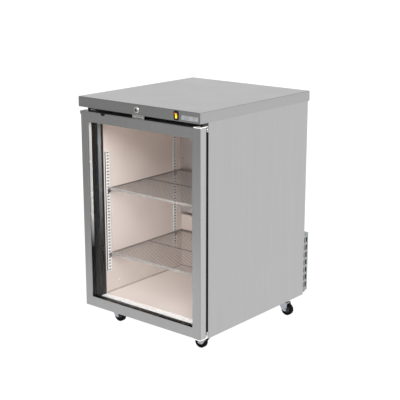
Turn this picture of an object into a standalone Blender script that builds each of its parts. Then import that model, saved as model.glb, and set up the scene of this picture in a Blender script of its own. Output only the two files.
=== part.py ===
"""Under-counter fridge with one glass door, on four swivel casters.

X runs to the right seen from the front, Y runs from front to back, Z is up.
The origin is on the floor under the centre of the cabinet. All lengths are metres.
"""
import bmesh
import bpy
import math
from mathutils import Matrix, Vector

# Driving dimensions of the whole cabinet.
WIDTH = 0.610
HEIGHT = 0.935
OVERALL_DEPTH = 0.720
WORKTOP_DEPTH = 0.684
WORKTOP_HEIGHT = 0.040
LOCK_PROUD = 0.004
SHEET = 0.0012
GAP = 0.0003

# Levels.
WORKTOP_UNDER = HEIGHT - WORKTOP_HEIGHT
BASE_Z = 0.079
FLOOR_Z = 0.1183
CEILING_Z = 0.845
MACHINE_TOP = 0.339
RECESS_FLOOR = 0.3533

# Half widths.
HALF = WIDTH / 2
SKIN_OUT = HALF - 0.001
SKIN_IN = SKIN_OUT - SHEET
LINER_IN = 0.260
LINER_OUT = 0.262

# The fascia's face is the front of the cabinet; depths are measured back from it.
FASCIA_Y = LOCK_PROUD - OVERALL_DEPTH / 2


def back(depth):
    """World Y of a point that lies this far behind the fascia's face."""
    return FASCIA_Y + depth


CABINET_FRONT = back(0.049)
CABINET_BACK = back(0.673)
SEAL_PLANE = back(0.056)

# Door.
DOOR_HALF = 0.301
DOOR_LOW = 0.084
DOOR_HIGH = 0.878
DOOR_FRONT = back(0.007)
DOOR_BACK = back(0.039)
WINDOW_HALF = 0.263
WINDOW_LOW = 0.1254
WINDOW_HIGH = 0.8385
REBATE = 0.0085
HINGE_X = 0.291
HINGE_Y = back(0.030)
PIN_RADIUS = 0.004

# Shelves, with their top faces at these levels.
SHELF_LEVELS = {"upper": 0.563, "lower": 0.293}
SHELF_THICK = 0.006
SHELF_HALF = 0.254
SHELF_FRONT = back(0.105)
SHELF_REAR = back(0.541)
PILASTER_Y = {"front": back(0.104), "rear": back(0.507)}

# Casters: swivel axes, wheel and trail.
CASTER_X = 0.244
CASTER_Y = {"front": -0.240, "rear": 0.253}
CASTER_TRAIL = 0.028
WHEEL_RADIUS = 0.0255
WHEEL_WIDTH = 0.021
RAIL_LOW = 0.064

# Fans, as X and Z of their axes.
EVAPORATOR_FAN = (0.0, 0.705)
CONDENSER_FAN = (-0.150, 0.198)

# Fascia: X and Z of the lock and the switch, and the low and high corners of the badge plate.
LOCK_X, LOCK_Z = 0.002, 0.913
SWITCH_X, SWITCH_Z = 0.196, 0.915
BADGE_LOW = (0.2210, 0.9025)
BADGE_HIGH = (0.2970, 0.9190)

# Half-round finger notch in the door's top front edge: X of its middle, radius, depth down and in.
NOTCH_X = -0.1815
NOTCH_RADIUS = 0.0145
NOTCH_DOWN = 0.0090
NOTCH_IN = 0.0080

# Faces that several pieces meet at.
SIDE_FLANGE = 0.014
PILASTER_FACE = 0.2570
LINER_REAR = back(0.6197)
LOWER_WALL = back(0.5538)
UPPER_WALL = back(0.6177)
COVER_FRONT = back(0.5480)
COMPARTMENT_WALL = back(0.5920)
BACK_FACE = CABINET_BACK - SHEET - GAP
PAN_TOP = BASE_Z + 0.0015 + GAP


def clear_scene():
    for obj in list(bpy.data.objects):
        bpy.data.objects.remove(obj, do_unlink=True)


def material(name, color, roughness, metallic=0.0, alpha=1.0):
    made = bpy.data.materials.new(name)
    made.use_nodes = True
    shader = made.node_tree.nodes["Principled BSDF"]
    shader.inputs["Base Color"].default_value = (*color, 1.0)
    shader.inputs["Roughness"].default_value = roughness
    shader.inputs["Metallic"].default_value = metallic
    shader.inputs["Alpha"].default_value = alpha
    return made


def finish(name, bm, mat, origin=None, parent=None, smooth=False):
    """Turn a world-space bmesh into an object whose origin is at the given point."""
    bmesh.ops.recalc_face_normals(bm, faces=bm.faces)
    if origin is None:
        low = Vector([min(v.co[i] for v in bm.verts) for i in range(3)])
        high = Vector([max(v.co[i] for v in bm.verts) for i in range(3)])
        origin = (low + high) / 2
    origin = Vector(origin)
    bmesh.ops.translate(bm, verts=bm.verts, vec=-origin)
    mesh = bpy.data.meshes.new(name)
    bm.to_mesh(mesh)
    bm.free()
    mesh.materials.append(mat)
    if smooth:
        mesh.shade_smooth()
        mesh.set_sharp_from_angle(angle=math.radians(35))
    obj = bpy.data.objects.new(name, mesh)
    bpy.context.collection.objects.link(obj)
    obj.location = origin
    if parent:
        obj.parent = parent
        obj.location = origin - parent.location
    return obj


def pivot(name, location):
    """An empty on a joint's axis, which carries everything that moves with it."""
    empty = bpy.data.objects.new(name, None)
    bpy.context.collection.objects.link(empty)
    empty.location = location
    return empty


def box_bm(low, high):
    bm = bmesh.new()
    size = Vector(high) - Vector(low)
    middle = (Vector(high) + Vector(low)) / 2
    matrix = Matrix.Translation(middle) @ Matrix.Diagonal((*size, 1.0))
    bmesh.ops.create_cube(bm, size=1.0, matrix=matrix)
    return bm


def prism_bm(outline, axis, start, end):
    """Extrude an outline along a world axis; its points are the two other coordinates."""
    order = {"X": (2, 0, 1), "Y": (0, 2, 1), "Z": (0, 1, 2)}[axis]
    bm = bmesh.new()
    rings = []
    for along in (start, end):
        ring = []
        for first, second in outline:
            values = (first, second, along)
            ring.append(bm.verts.new([values[i] for i in order]))
        rings.append(ring)
    bm.faces.new(rings[0])
    bm.faces.new(rings[1])
    count = len(outline)
    for i in range(count):
        j = (i + 1) % count
        bm.faces.new((rings[0][i], rings[0][j], rings[1][j], rings[1][i]))
    return bm


def circle(centre, radius, segments=24):
    """Points of a circle as pairs of coordinates."""
    points = []
    for i in range(segments):
        angle = 2 * math.pi * i / segments
        points.append((centre[0] + radius * math.cos(angle), centre[1] + radius * math.sin(angle)))
    return points


def turned_bm(profile, centre, axis, segments=24):
    """Revolve a closed profile of (radius, distance along the axis) points."""
    bm = bmesh.new()
    rings = []
    for i in range(segments):
        angle = 2 * math.pi * i / segments
        ring = []
        for radius, along in profile:
            u = radius * math.cos(angle)
            v = radius * math.sin(angle)
            offset = {"X": (along, u, v), "Y": (u, along, v), "Z": (u, v, along)}[axis]
            ring.append(bm.verts.new(Vector(centre) + Vector(offset)))
        rings.append(ring)
    count = len(profile)
    for i in range(segments):
        following = rings[(i + 1) % segments]
        for j in range(count):
            k = (j + 1) % count
            bm.faces.new((rings[i][j], rings[i][k], following[k], following[j]))
    bmesh.ops.remove_doubles(bm, verts=bm.verts, dist=0.000001)
    return bm


def frame_bm(inner, outer, profile):
    """A rectangular ring round the Y axis.

    inner and outer are (half width, low, high). Each profile point is (t, y), where t runs
    from 0 at the inner edge to 1 at the outer edge.
    """
    bm = bmesh.new()
    loops = []
    for t, y in profile:
        half, low, high = [a + (b - a) * t for a, b in zip(inner, outer)]
        corners = ((-half, low), (half, low), (half, high), (-half, high))
        loops.append([bm.verts.new((x, y, z)) for x, z in corners])
    count = len(profile)
    for i in range(count):
        following = loops[(i + 1) % count]
        for j in range(4):
            k = (j + 1) % 4
            bm.faces.new((loops[i][j], loops[i][k], following[k], following[j]))
    return bm


def cutter(bm):
    """A guide solid that the build leaves out."""
    obj = finish("cutter", bm, STEEL)
    obj.hide_render = True
    obj.display_type = "WIRE"
    return obj


def apply_boolean(obj, bms, operation):
    """Cut the solids from an object, or join them to it, and keep the result as its mesh."""
    for bm in bms:
        tool = cutter(bm)
        modifier = obj.modifiers.new(operation.lower(), "BOOLEAN")
        modifier.operation = operation
        modifier.solver = "EXACT"
        modifier.object = tool
        bpy.context.view_layer.update()
        evaluated = obj.evaluated_get(bpy.context.evaluated_depsgraph_get())
        mesh = bpy.data.meshes.new_from_object(evaluated)
        obj.modifiers.clear()
        obj.data = mesh
        bpy.data.objects.remove(tool, do_unlink=True)
    return obj


def cut(obj, *bms):
    return apply_boolean(obj, bms, "DIFFERENCE")


def join(obj, *bms):
    return apply_boolean(obj, bms, "UNION")


def block(name, low, high, mat, parent=None, bevel=0.0):
    """A plain box with all its edges slightly broken."""
    bm = box_bm(low, high)
    if bevel:
        bmesh.ops.bevel(bm, geom=bm.edges, offset=bevel, segments=1, affect="EDGES")
    return finish(name, bm, mat, parent=parent)


clear_scene()
STEEL = material("brushed_steel", (0.48, 0.48, 0.49), 0.30, 1.0)
DOOR_STEEL = material("door_steel", (0.45, 0.45, 0.46), 0.32, 1.0)
GALVANISED = material("galvanised_steel", (0.50, 0.52, 0.51), 0.45, 1.0)
ZINC = material("zinc_plate", (0.55, 0.56, 0.60), 0.35, 1.0)
BRIGHT = material("bright_steel", (0.80, 0.80, 0.80), 0.20, 1.0)
LINER = material("white_liner", (0.86, 0.84, 0.80), 0.40)
BLACK = material("black_plastic", (0.02, 0.02, 0.02), 0.45)
GASKET = material("gasket_rubber", (0.015, 0.015, 0.015), 0.60)
GLASS = material("clear_glass", (0.90, 0.95, 0.93), 0.02, 0.0, 0.25)
SPACER = material("spacer_aluminium", (0.80, 0.81, 0.82), 0.30, 1.0)
WIRE = material("shelf_wire", (0.62, 0.61, 0.60), 0.35, 0.8)
FOAM = material("insulation_foam", (0.80, 0.70, 0.45), 0.90)
COIL = material("coil_fins", (0.60, 0.62, 0.64), 0.40, 1.0)
ENAMEL = material("black_enamel", (0.03, 0.03, 0.03), 0.30)
AMBER = material("amber_rocker", (0.95, 0.52, 0.05), 0.25)
BADGE = material("badge_plate", (0.60, 0.62, 0.64), 0.30, 0.6)
TYRE = material("caster_tyre", (0.02, 0.02, 0.02), 0.55)
FAN = material("fan_plastic", (0.05, 0.05, 0.055), 0.45)
LIGHT = material("light_diffuser", (0.95, 0.93, 0.88), 0.40)
TRAY = material("tray_plastic", (0.25, 0.26, 0.27), 0.50)


def make_worktop():
    """A folded steel shell with a deep front fascia, open underneath."""
    bm = box_bm((-HALF, back(0), WORKTOP_UNDER), (HALF, back(WORKTOP_DEPTH), HEIGHT))
    edges = []
    for edge in bm.edges:
        middle = (edge.verts[0].co + edge.verts[1].co) / 2
        if middle.z > WORKTOP_UNDER + 0.001:
            edges.append(edge)
    bmesh.ops.bevel(bm, geom=edges, offset=0.0018, segments=2, affect="EDGES")
    worktop = finish("worktop", bm, STEEL)
    wall = 0.0015
    flange_depth = 0.021
    inside = box_bm((-HALF + wall, back(wall), WORKTOP_UNDER + wall),
                    (HALF - wall, back(WORKTOP_DEPTH - wall), HEIGHT - wall - 0.0006))
    mouth = box_bm((-HALF + wall, back(flange_depth), WORKTOP_UNDER - 0.01),
                   (HALF - wall, back(WORKTOP_DEPTH - wall), WORKTOP_UNDER + 0.005))
    lock_hole = prism_bm(circle((LOCK_X, LOCK_Z), 0.0096, 32), "Y", back(-0.01), back(0.01))
    switch_hole = box_bm((SWITCH_X - 0.0096, back(-0.01), SWITCH_Z - 0.0151),
                         (SWITCH_X + 0.0096, back(0.01), SWITCH_Z + 0.0151))
    return cut(worktop, inside, mouth, lock_hole, switch_hole)


def make_side_panels():
    for side, sign in (("left", -1), ("right", 1)):
        outline = [
            (sign * SKIN_IN, CABINET_FRONT),
            (sign * SKIN_OUT, CABINET_FRONT),
            (sign * SKIN_OUT, CABINET_BACK),
            (sign * (SKIN_OUT - SIDE_FLANGE), CABINET_BACK),
            (sign * (SKIN_OUT - SIDE_FLANGE), CABINET_BACK - SHEET),
            (sign * SKIN_IN, CABINET_BACK - SHEET),
        ]
        bm = prism_bm(outline, "Z", BASE_Z, WORKTOP_UNDER - GAP)
        finish("side_panel_" + side, bm, STEEL)


def make_back_panel():
    """Folded sheet: the upper back, the machine compartment's roof and its front wall."""
    rear = BACK_FACE
    wall = COMPARTMENT_WALL
    outline = [
        (rear - SHEET, WORKTOP_UNDER - 0.001),
        (rear, WORKTOP_UNDER - 0.001),
        (rear, MACHINE_TOP),
        (wall + SHEET, MACHINE_TOP),
        (wall + SHEET, BASE_Z + 0.0018),
        (wall, BASE_Z + 0.0018),
        (wall, MACHINE_TOP + SHEET),
        (rear - SHEET, MACHINE_TOP + SHEET),
    ]
    finish("back_panel", prism_bm(outline, "X", -0.302, 0.302), GALVANISED)


def make_base():
    wide = SKIN_IN - GAP
    narrow = 0.2890
    shoulder = BACK_FACE
    tail = back(0.7140)
    outline = [
        (-wide, CABINET_FRONT + 0.001),
        (wide, CABINET_FRONT + 0.001),
        (wide, shoulder),
        (narrow, shoulder),
        (narrow, tail),
        (-narrow, tail),
        (-narrow, shoulder),
        (-wide, shoulder),
    ]
    finish("bottom_pan", prism_bm(outline, "Z", BASE_Z, BASE_Z + 0.0015), GALVANISED)
    top = BASE_Z - GAP
    wall = 0.002
    for side, sign in (("left", -1), ("right", 1)):
        inner = sign * CASTER_X - 0.032
        outer = sign * CASTER_X + 0.032
        outline = [
            (inner, RAIL_LOW),
            (outer, RAIL_LOW),
            (outer, top),
            (outer - wall, top),
            (outer - wall, RAIL_LOW + wall),
            (inner + wall, RAIL_LOW + wall),
            (inner + wall, top),
            (inner, top),
        ]
        finish("caster_rail_" + side, prism_bm(outline, "Y", -0.292, 0.303), GALVANISED)


def make_insulation():
    """Foam between the skins, open at the front and notched for the machine compartment."""
    wide = SKIN_IN - GAP
    solid = box_bm((-wide, back(0.0853), PAN_TOP), (wide, back(0.6700), HEIGHT - 0.0030))
    foam = finish("insulation_foam", solid, FOAM)
    half = LINER_OUT + GAP
    ceiling = CEILING_Z + 0.0020 + GAP
    cabinet_room = box_bm((-half, back(0.05), FLOOR_Z - 0.0023), (half, LOWER_WALL + 0.0020 + GAP, ceiling))
    recess = box_bm((-half, back(0.50), RECESS_FLOOR - 0.0023), (half, LINER_REAR + GAP, ceiling))
    machine = box_bm((-0.31, COMPARTMENT_WALL - GAP, 0.05), (0.31, back(0.70), MACHINE_TOP + SHEET + GAP))
    return cut(foam, cabinet_room, recess, machine)


def make_liner():
    """Moulded inner box: two walls, a ceiling and a floor, with a separate back wall."""
    wall = 0.002
    rear = LINER_REAR
    solid = box_bm((-LINER_OUT, back(0.0853), FLOOR_Z - wall), (LINER_OUT, rear, CEILING_Z + wall))
    liner = finish("inner_liner", solid, LINER)
    inside = box_bm((-LINER_IN, back(0.05), FLOOR_Z), (LINER_IN, rear + 0.01, CEILING_Z))
    notch = box_bm((-0.30, LOWER_WALL + wall, 0.05), (0.30, rear + 0.01, RECESS_FLOOR - wall))
    cut(liner, inside, notch)
    lower = LOWER_WALL
    upper = UPPER_WALL
    outline = [
        (lower, FLOOR_Z + GAP),
        (lower + wall, FLOOR_Z + GAP),
        (lower + wall, RECESS_FLOOR - wall),
        (upper + wall, RECESS_FLOOR - wall),
        (upper + wall, CEILING_Z - GAP),
        (upper, CEILING_Z - GAP),
        (upper, RECESS_FLOOR),
        (lower, RECESS_FLOOR),
    ]
    finish("liner_back_wall", prism_bm(outline, "X", -LINER_IN + GAP, LINER_IN - GAP), LINER)


def make_front_frame():
    outer = (SKIN_IN - GAP, BASE_Z + 0.0018, WORKTOP_UNDER - 0.0005)
    inner = (0.2615, 0.1140, 0.8470)
    front, rear = SEAL_PLANE, back(0.0740)
    finish("front_frame", frame_bm(inner, outer, [(0, front), (1, front), (1, rear), (0, rear)]), STEEL)
    front, rear = back(0.0743), back(0.0850)
    outer = (0.2760, 0.1000, 0.8610)
    inner = (0.2611, 0.1140, 0.8465)
    finish("breaker_frame", frame_bm(inner, outer, [(0, front), (1, front), (1, rear), (0, rear)]), BLACK)
    block("front_sill", (-0.2608, back(0.0560), 0.1143), (0.2608, back(0.0850), 0.1163), BRIGHT)
    block("recess_trim", (-0.2995, back(0.0527), DOOR_HIGH + 0.0015),
          (0.2680, back(0.0557), WORKTOP_UNDER - 0.0005), BLACK)


def make_fascia_parts():
    """Lock housing, switch bezel and a blank badge plate, all set in the fascia."""
    profile = [
        (0.0082, -0.0022),
        (0.0115, -0.0022),
        (0.0115, -GAP),
        (0.0093, -GAP),
        (0.0093, 0.0260),
        (0.0082, 0.0260),
    ]
    finish("lock_housing", turned_bm(profile, (LOCK_X, back(0), LOCK_Z), "Y", 32), BRIGHT, smooth=True)

    def switch_box(half_width, half_height, near, far):
        return box_bm((SWITCH_X - half_width, back(near), SWITCH_Z - half_height),
                      (SWITCH_X + half_width, back(far), SWITCH_Z + half_height))

    bezel = finish("switch_bezel", switch_box(0.0112, 0.0170, -0.0022, -GAP), BLACK)
    join(bezel, switch_box(0.0093, 0.0148, -0.0010, 0.0220))
    cut(bezel, switch_box(0.0076, 0.0136, -0.0100, 0.0140))

    block("badge_plate", (BADGE_LOW[0], back(-0.0014), BADGE_LOW[1]),
          (BADGE_HIGH[0], back(-GAP), BADGE_HIGH[1]), BADGE)


def make_hinge_brackets():
    """Angle brackets at the right-hand corners, each with a pin into the door."""
    leg_front, leg_rear = back(0.0519), back(0.0557)
    nose, left, right = back(0.0060), 0.2700, 0.3015
    plate = 0.003
    for name, face, way in (("top", DOOR_HIGH, 1), ("bottom", DOOR_LOW, -1)):
        near = face + way * 0.0005
        far = near + way * plate
        leg = face - way * 0.0190
        low, high = sorted((near, far))
        flat = box_bm((left, nose, low), (right, leg_rear, high))
        bracket = finish("hinge_bracket_" + name, flat, BRIGHT)
        low, high = sorted((near + way * 0.001, leg))
        arm = box_bm((left + 0.0001, leg_front, low), (right - 0.0001, leg_rear - 0.00005, high))
        low, high = sorted((near + way * 0.001, face - way * 0.0120))
        pin = prism_bm(circle((HINGE_X, HINGE_Y), PIN_RADIUS, 24), "Z", low, high)
        join(bracket, arm, pin)


def make_evaporator():
    """Sheet cover over the recess, with a fan mouth, return slots and a motor on two bars."""
    front = COVER_FRONT
    wall = SHEET
    half = 0.2590
    low, high = 0.3680, 0.8435
    cover = finish("evaporator_cover", box_bm((-half, front, low), (half, back(0.5900), high)), STEEL)
    inside = box_bm((-half + wall, front + wall, low + wall), (half - wall, back(0.60), high - wall))
    fan_x, fan_z = EVAPORATOR_FAN
    mouth = prism_bm(circle((fan_x, fan_z), 0.060, 32), "Y", front - 0.01, front + 0.01)
    slots = []
    for i in range(4):
        z = 0.400 + 0.020 * i
        slots.append(box_bm((-0.170, front - 0.01, z), (0.170, front + 0.01, z + 0.009)))
    cut(cover, inside, mouth, *slots)
    bars = []
    for turn in (45, 135):
        bm = box_bm((-0.0640, front + 0.0005, -0.003), (0.0640, front + 0.0030, 0.003))
        matrix = Matrix.Translation((fan_x, 0, fan_z)) @ Matrix.Rotation(math.radians(turn), 4, "Y")
        bmesh.ops.transform(bm, matrix=matrix, verts=bm.verts)
        bars.append(bm)
    motor = prism_bm(circle((fan_x, fan_z), 0.021, 24), "Y", front + 0.001, back(0.5720))
    join(cover, bars[0], bars[1], motor)
    block("evaporator_coil", (-0.225, back(0.5600), 0.3750), (0.225, back(0.6160), 0.6200), COIL)
    block("interior_light", (-0.200, back(0.0920), 0.8380), (0.200, back(0.1100), CEILING_Z - GAP),
          LIGHT, bevel=0.0012)


def make_pilasters():
    """Slotted strips screwed to the liner, with a clip under each shelf corner."""
    low, high = 0.210, 0.708
    for side, sign in (("left", -1), ("right", 1)):
        for place, y in PILASTER_Y.items():
            ends = sorted((sign * PILASTER_FACE, sign * (LINER_IN - GAP)))
            block(f"pilaster_{place}_{side}", (ends[0], y - 0.010, low), (ends[1], y + 0.010, high), BRIGHT)
            for level, z in SHELF_LEVELS.items():
                top = z - SHELF_THICK - GAP
                face = sign * (PILASTER_FACE - GAP)
                outline = [
                    (face, top),
                    (face, top - 0.0200),
                    (face - sign * 0.002, top - 0.0200),
                    (face - sign * 0.002, top - 0.0060),
                    (face - sign * 0.013, top - 0.0020),
                    (face - sign * 0.013, top),
                ]
                bm = prism_bm(outline, "Y", y - 0.006, y + 0.012)
                finish(f"shelf_clip_{level}_{place}_{side}", bm, ZINC)


def make_shelf(level, top):
    """A wire shelf: a rim, one cross rail and the wires that run from front to back."""
    bar = 0.006
    gap_count = 16
    pitch = (2 * SHELF_HALF - bar) / gap_count
    x_edges = []
    for i in range(gap_count + 1):
        start = -SHELF_HALF + i * pitch
        x_edges += [start, start + bar]
    middle = (SHELF_FRONT + SHELF_REAR) / 2
    y_edges = []
    for start in (SHELF_FRONT, middle - bar / 2, SHELF_REAR - bar):
        y_edges += [start, start + bar]
    bm = bmesh.new()
    grid = [[[bm.verts.new((x, y, z)) for z in (top - SHELF_THICK, top)] for y in y_edges] for x in x_edges]

    def is_wire(i, j):
        inside = 0 <= i < len(x_edges) - 1 and 0 <= j < len(y_edges) - 1
        return inside and (i % 2 == 0 or j % 2 == 0)

    for i in range(len(x_edges) - 1):
        for j in range(len(y_edges) - 1):
            if not is_wire(i, j):
                continue
            corners = [grid[i][j], grid[i + 1][j], grid[i + 1][j + 1], grid[i][j + 1]]
            for level_index in (0, 1):
                bm.faces.new([corner[level_index] for corner in corners])
            sides = ((i, j - 1, 0, 1), (i + 1, j, 1, 2), (i, j + 1, 2, 3), (i - 1, j, 3, 0))
            for next_i, next_j, a, b in sides:
                if not is_wire(next_i, next_j):
                    bm.faces.new((corners[a][0], corners[b][0], corners[b][1], corners[a][1]))
    finish("shelf_" + level, bm, WIRE)


def fan_bm(centre, hub_radius, tip_radius, start, end, blade_count, pitch_deg):
    """Hub and pitched blades as separate solids; the first is the hub."""
    hub = prism_bm(circle((centre[0], centre[1]), hub_radius, 20), "Y", start, end)
    blades = []
    depth = end - start
    chord = tip_radius * 0.52
    for i in range(blade_count):
        bm = box_bm((hub_radius - 0.004, -0.0008, -chord / 2), (tip_radius, 0.0008, chord / 2))
        pitch = Matrix.Rotation(math.radians(90 - pitch_deg), 4, "X")
        turn = Matrix.Rotation(2 * math.pi * i / blade_count, 4, "Y")
        place = Matrix.Translation((centre[0], start + depth / 2, centre[1]))
        bmesh.ops.transform(bm, matrix=place @ turn @ pitch, verts=bm.verts)
        blades.append(bm)
    return hub, blades


def make_fans():
    fans = (
        ("evaporator_fan", EVAPORATOR_FAN, 0.018, 0.052, back(0.5730), back(0.5880), 5),
        ("condenser_fan", CONDENSER_FAN, 0.022, 0.080, back(0.6640), back(0.6840), 5),
    )
    for name, centre, hub_radius, tip_radius, start, end, blade_count in fans:
        hub, blades = fan_bm(centre, hub_radius, tip_radius, start, end, blade_count, 62)
        axis = pivot(name + "_axis", (centre[0], (start + end) / 2, centre[1]))
        fan = finish(name, hub, FAN, origin=axis.location)
        join(fan, *blades)
        fan.parent = axis
        fan.location = (0, 0, 0)


def make_machine():
    """Compressor, condenser with its fan motor, drip tray, rear cover and the cord's gland."""
    centre = Vector((0.135, back(0.6520), 0))
    shell_profile = [
        (0.0001, 0.0880),
        (0.050, 0.0880),
        (0.070, 0.0960),
        (0.074, 0.1150),
        (0.074, 0.1700),
        (0.068, 0.2020),
        (0.045, 0.2230),
        (0.0001, 0.2300),
    ]
    bm = turned_bm(shell_profile, (0, 0, 0), "Z", 24)
    squash = Matrix.Translation(centre) @ Matrix.Diagonal((1.0, 0.70, 1.0, 1.0))
    bmesh.ops.transform(bm, matrix=squash, verts=bm.verts)
    compressor = finish("compressor", bm, ENAMEL, smooth=True)
    plate = box_bm(centre + Vector((-0.085, -0.048, 0.0865)), centre + Vector((0.085, 0.048, 0.0895)))
    join(compressor, plate)
    for dx in (-0.074, 0.074):
        for dy in (-0.038, 0.038):
            foot = prism_bm(circle((centre.x + dx, centre.y + dy), 0.008, 12), "Z", PAN_TOP, 0.0880)
            join(compressor, foot)

    fan_x, fan_z = CONDENSER_FAN
    block_of_fins = box_bm((fan_x - 0.100, back(0.6000), PAN_TOP), (fan_x + 0.100, back(0.6360), 0.2950))
    coil = finish("condenser_coil", block_of_fins, COIL)
    motor = prism_bm(circle((fan_x, fan_z), 0.024, 20), "Y", back(0.6300), back(0.6620))
    join(coil, motor)

    dish = box_bm((0.045, back(0.6010), 0.2420), (0.225, back(0.7030), 0.2660))
    tray = finish("condensate_tray", dish, TRAY)
    cut(tray, box_bm((0.0475, back(0.6035), 0.2445), (0.2225, back(0.7005), 0.2800)))

    half = 0.2950
    rear = back(0.7160)
    low, high = 0.0880, MACHINE_TOP
    wall = SHEET
    solid = box_bm((-half, CABINET_BACK + GAP, low), (half, rear, high))
    cover = finish("rear_cover", solid, GALVANISED)
    inside = box_bm((-half + wall, CABINET_BACK - 0.01, low - 0.01), (half - wall, rear - wall, high - wall))
    slots = [inside]
    rows = 7
    pitch = 0.0325
    for row in range(rows):
        z = low + 0.016 + row * pitch
        for column in range(2):
            y = CABINET_BACK + 0.0065 + column * 0.018
            slots.append(box_bm((-0.32, y, z), (0.32, y + 0.011, z + 0.021)))
        for column in range(4):
            x = -0.262 + column * 0.136
            slots.append(box_bm((x, rear - 0.01, z), (x + 0.116, rear + 0.01, z + 0.021)))
    cut(cover, *slots)

    gland_profile = [
        (0.0001, 0.0),
        (0.0150, 0.0),
        (0.0150, 0.0040),
        (0.0095, 0.0040),
        (0.0085, 0.0220),
        (0.0001, 0.0220),
    ]
    gland = turned_bm(gland_profile, (-0.230, BACK_FACE + GAP, 0.3720), "Y", 20)
    finish("cord_gland", gland, BLACK, smooth=True)


def make_door():
    hinge = pivot("door_hinge_axis", (HINGE_X, HINGE_Y, (DOOR_LOW + DOOR_HIGH) / 2))
    outer = (DOOR_HALF, DOOR_LOW, DOOR_HIGH)
    window = (WINDOW_HALF, WINDOW_LOW, WINDOW_HIGH)
    rebate = (WINDOW_HALF + REBATE, WINDOW_LOW - REBATE, WINDOW_HIGH + REBATE)
    lip = back(0.0095)
    bm = box_bm((-DOOR_HALF, DOOR_FRONT, DOOR_LOW), (DOOR_HALF, DOOR_BACK, DOOR_HIGH))
    front_edges = []
    for edge in bm.edges:
        if all(vert.co.y < DOOR_FRONT + 0.001 for vert in edge.verts):
            front_edges.append(edge)
    bmesh.ops.bevel(bm, geom=front_edges, offset=0.0015, segments=2, affect="EDGES")
    frame = finish("door_frame", bm, DOOR_STEEL)
    opening = box_bm((-window[0], back(-0.01), window[1]), (window[0], back(0.05), window[2]))
    pocket = box_bm((-rebate[0], lip, rebate[1]), (rebate[0], back(0.05), rebate[2]))
    holes = []
    for face, way in ((DOOR_HIGH, -1), (DOOR_LOW, 1)):
        low, high = sorted((face - way * 0.01, face + way * 0.0135))
        holes.append(prism_bm(circle((HINGE_X, HINGE_Y), PIN_RADIUS + 0.0005, 24), "Z", low, high))
    notch_centre = (NOTCH_X, DOOR_HIGH + NOTCH_RADIUS - NOTCH_DOWN)
    notch = prism_bm(circle(notch_centre, NOTCH_RADIUS, 32), "Y", back(-0.01), DOOR_FRONT + NOTCH_IN)
    cut(frame, opening, pocket, notch, *holes)
    frame.parent = hinge
    frame.location = frame.location - hinge.location

    def pane(name, near, far):
        edge = 0.0005
        block(name, (-rebate[0] + edge, back(near), rebate[1] + edge),
              (rebate[0] - edge, back(far), rebate[2] - edge), GLASS, parent=hinge)

    pane("outer_glass", 0.0098, 0.0138)
    pane("inner_glass", 0.0242, 0.0282)
    profile = [(0, back(0.0141)), (1, back(0.0141)), (1, back(0.0239)), (0, back(0.0239))]
    inner = (0.2615, 0.1270, 0.8370)
    spacer_outer = (rebate[0] - 0.001, rebate[1] + 0.001, rebate[2] - 0.001)
    finish("glass_spacer", frame_bm(inner, spacer_outer, profile), SPACER, parent=hinge)
    profile = [(0, back(0.0285)), (1, back(0.0285)), (1, back(0.0387)), (0, back(0.0387))]
    inner = (0.2618, 0.1225, 0.8400)
    frame_outer = (rebate[0] - 0.0005, rebate[1] + 0.0005, rebate[2] - 0.0005)
    finish("door_inner_frame", frame_bm(inner, frame_outer, profile), BLACK, parent=hinge)
    near, far = back(0.0393), back(0.0557)
    profile = [(0, near), (1, near), (1, back(0.0535)), (0.75, far), (0, far)]
    finish("door_gasket", frame_bm((0.2625, 0.1130, 0.8465), (0.2980, 0.1035, 0.8570), profile),
           GASKET, parent=hinge)
    block("strike_plate", (-0.0470, back(0.0290), DOOR_HIGH + GAP), (0.0130, back(0.0310), 0.8890),
          BRIGHT, parent=hinge)


def make_lock():
    """Key cylinder with its cam, which swings down behind the strike plate."""
    axis = pivot("lock_axis", (LOCK_X, back(0.010), LOCK_Z))
    plug = prism_bm(circle((LOCK_X, LOCK_Z), 0.0078, 32), "Y", back(-LOCK_PROUD), back(0.0300))
    lock = finish("lock_cylinder", plug, BRIGHT, origin=axis.location)

    def lock_box(left, right, near, far, half_height):
        return box_bm((LOCK_X + left, back(near), LOCK_Z - half_height),
                      (LOCK_X + right, back(far), LOCK_Z + half_height))

    keyway = lock_box(-0.0007, 0.0007, -0.0100, 0.0060, 0.0045)
    cam = lock_box(-0.0295, 0.0060, 0.0288, 0.0345, 0.0050)
    trim = lock_box(-0.0400, -0.0090, 0.0200, 0.0320, 0.0100)
    join(lock, cam)
    cut(lock, trim, keyway)
    lock.parent = axis
    lock.location = (0, 0, 0)


def make_rocker():
    """Rocker key with two faces in a shallow V; its upper half is pressed in at rest."""
    axis = pivot("rocker_axis", (SWITCH_X, back(0.0040), SWITCH_Z))
    tilt = math.radians(7)
    half = 0.0124
    front = -0.0048
    rise = math.tan(tilt) * half
    outline = [
        (front - rise, -half),
        (front, 0.0),
        (front - rise, half),
        (0.0035, half - 0.0020),
        (0.0065, 0.0),
        (0.0035, -half + 0.0020),
    ]
    turned = []
    for y, z in outline:
        turned.append((axis.location.y + y * math.cos(tilt) + z * math.sin(tilt),
                       axis.location.z - y * math.sin(tilt) + z * math.cos(tilt)))
    bm = prism_bm(turned, "X", SWITCH_X - 0.0071, SWITCH_X + 0.0071)
    finish("rocker_switch", bm, AMBER, origin=axis.location, parent=axis)


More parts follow.
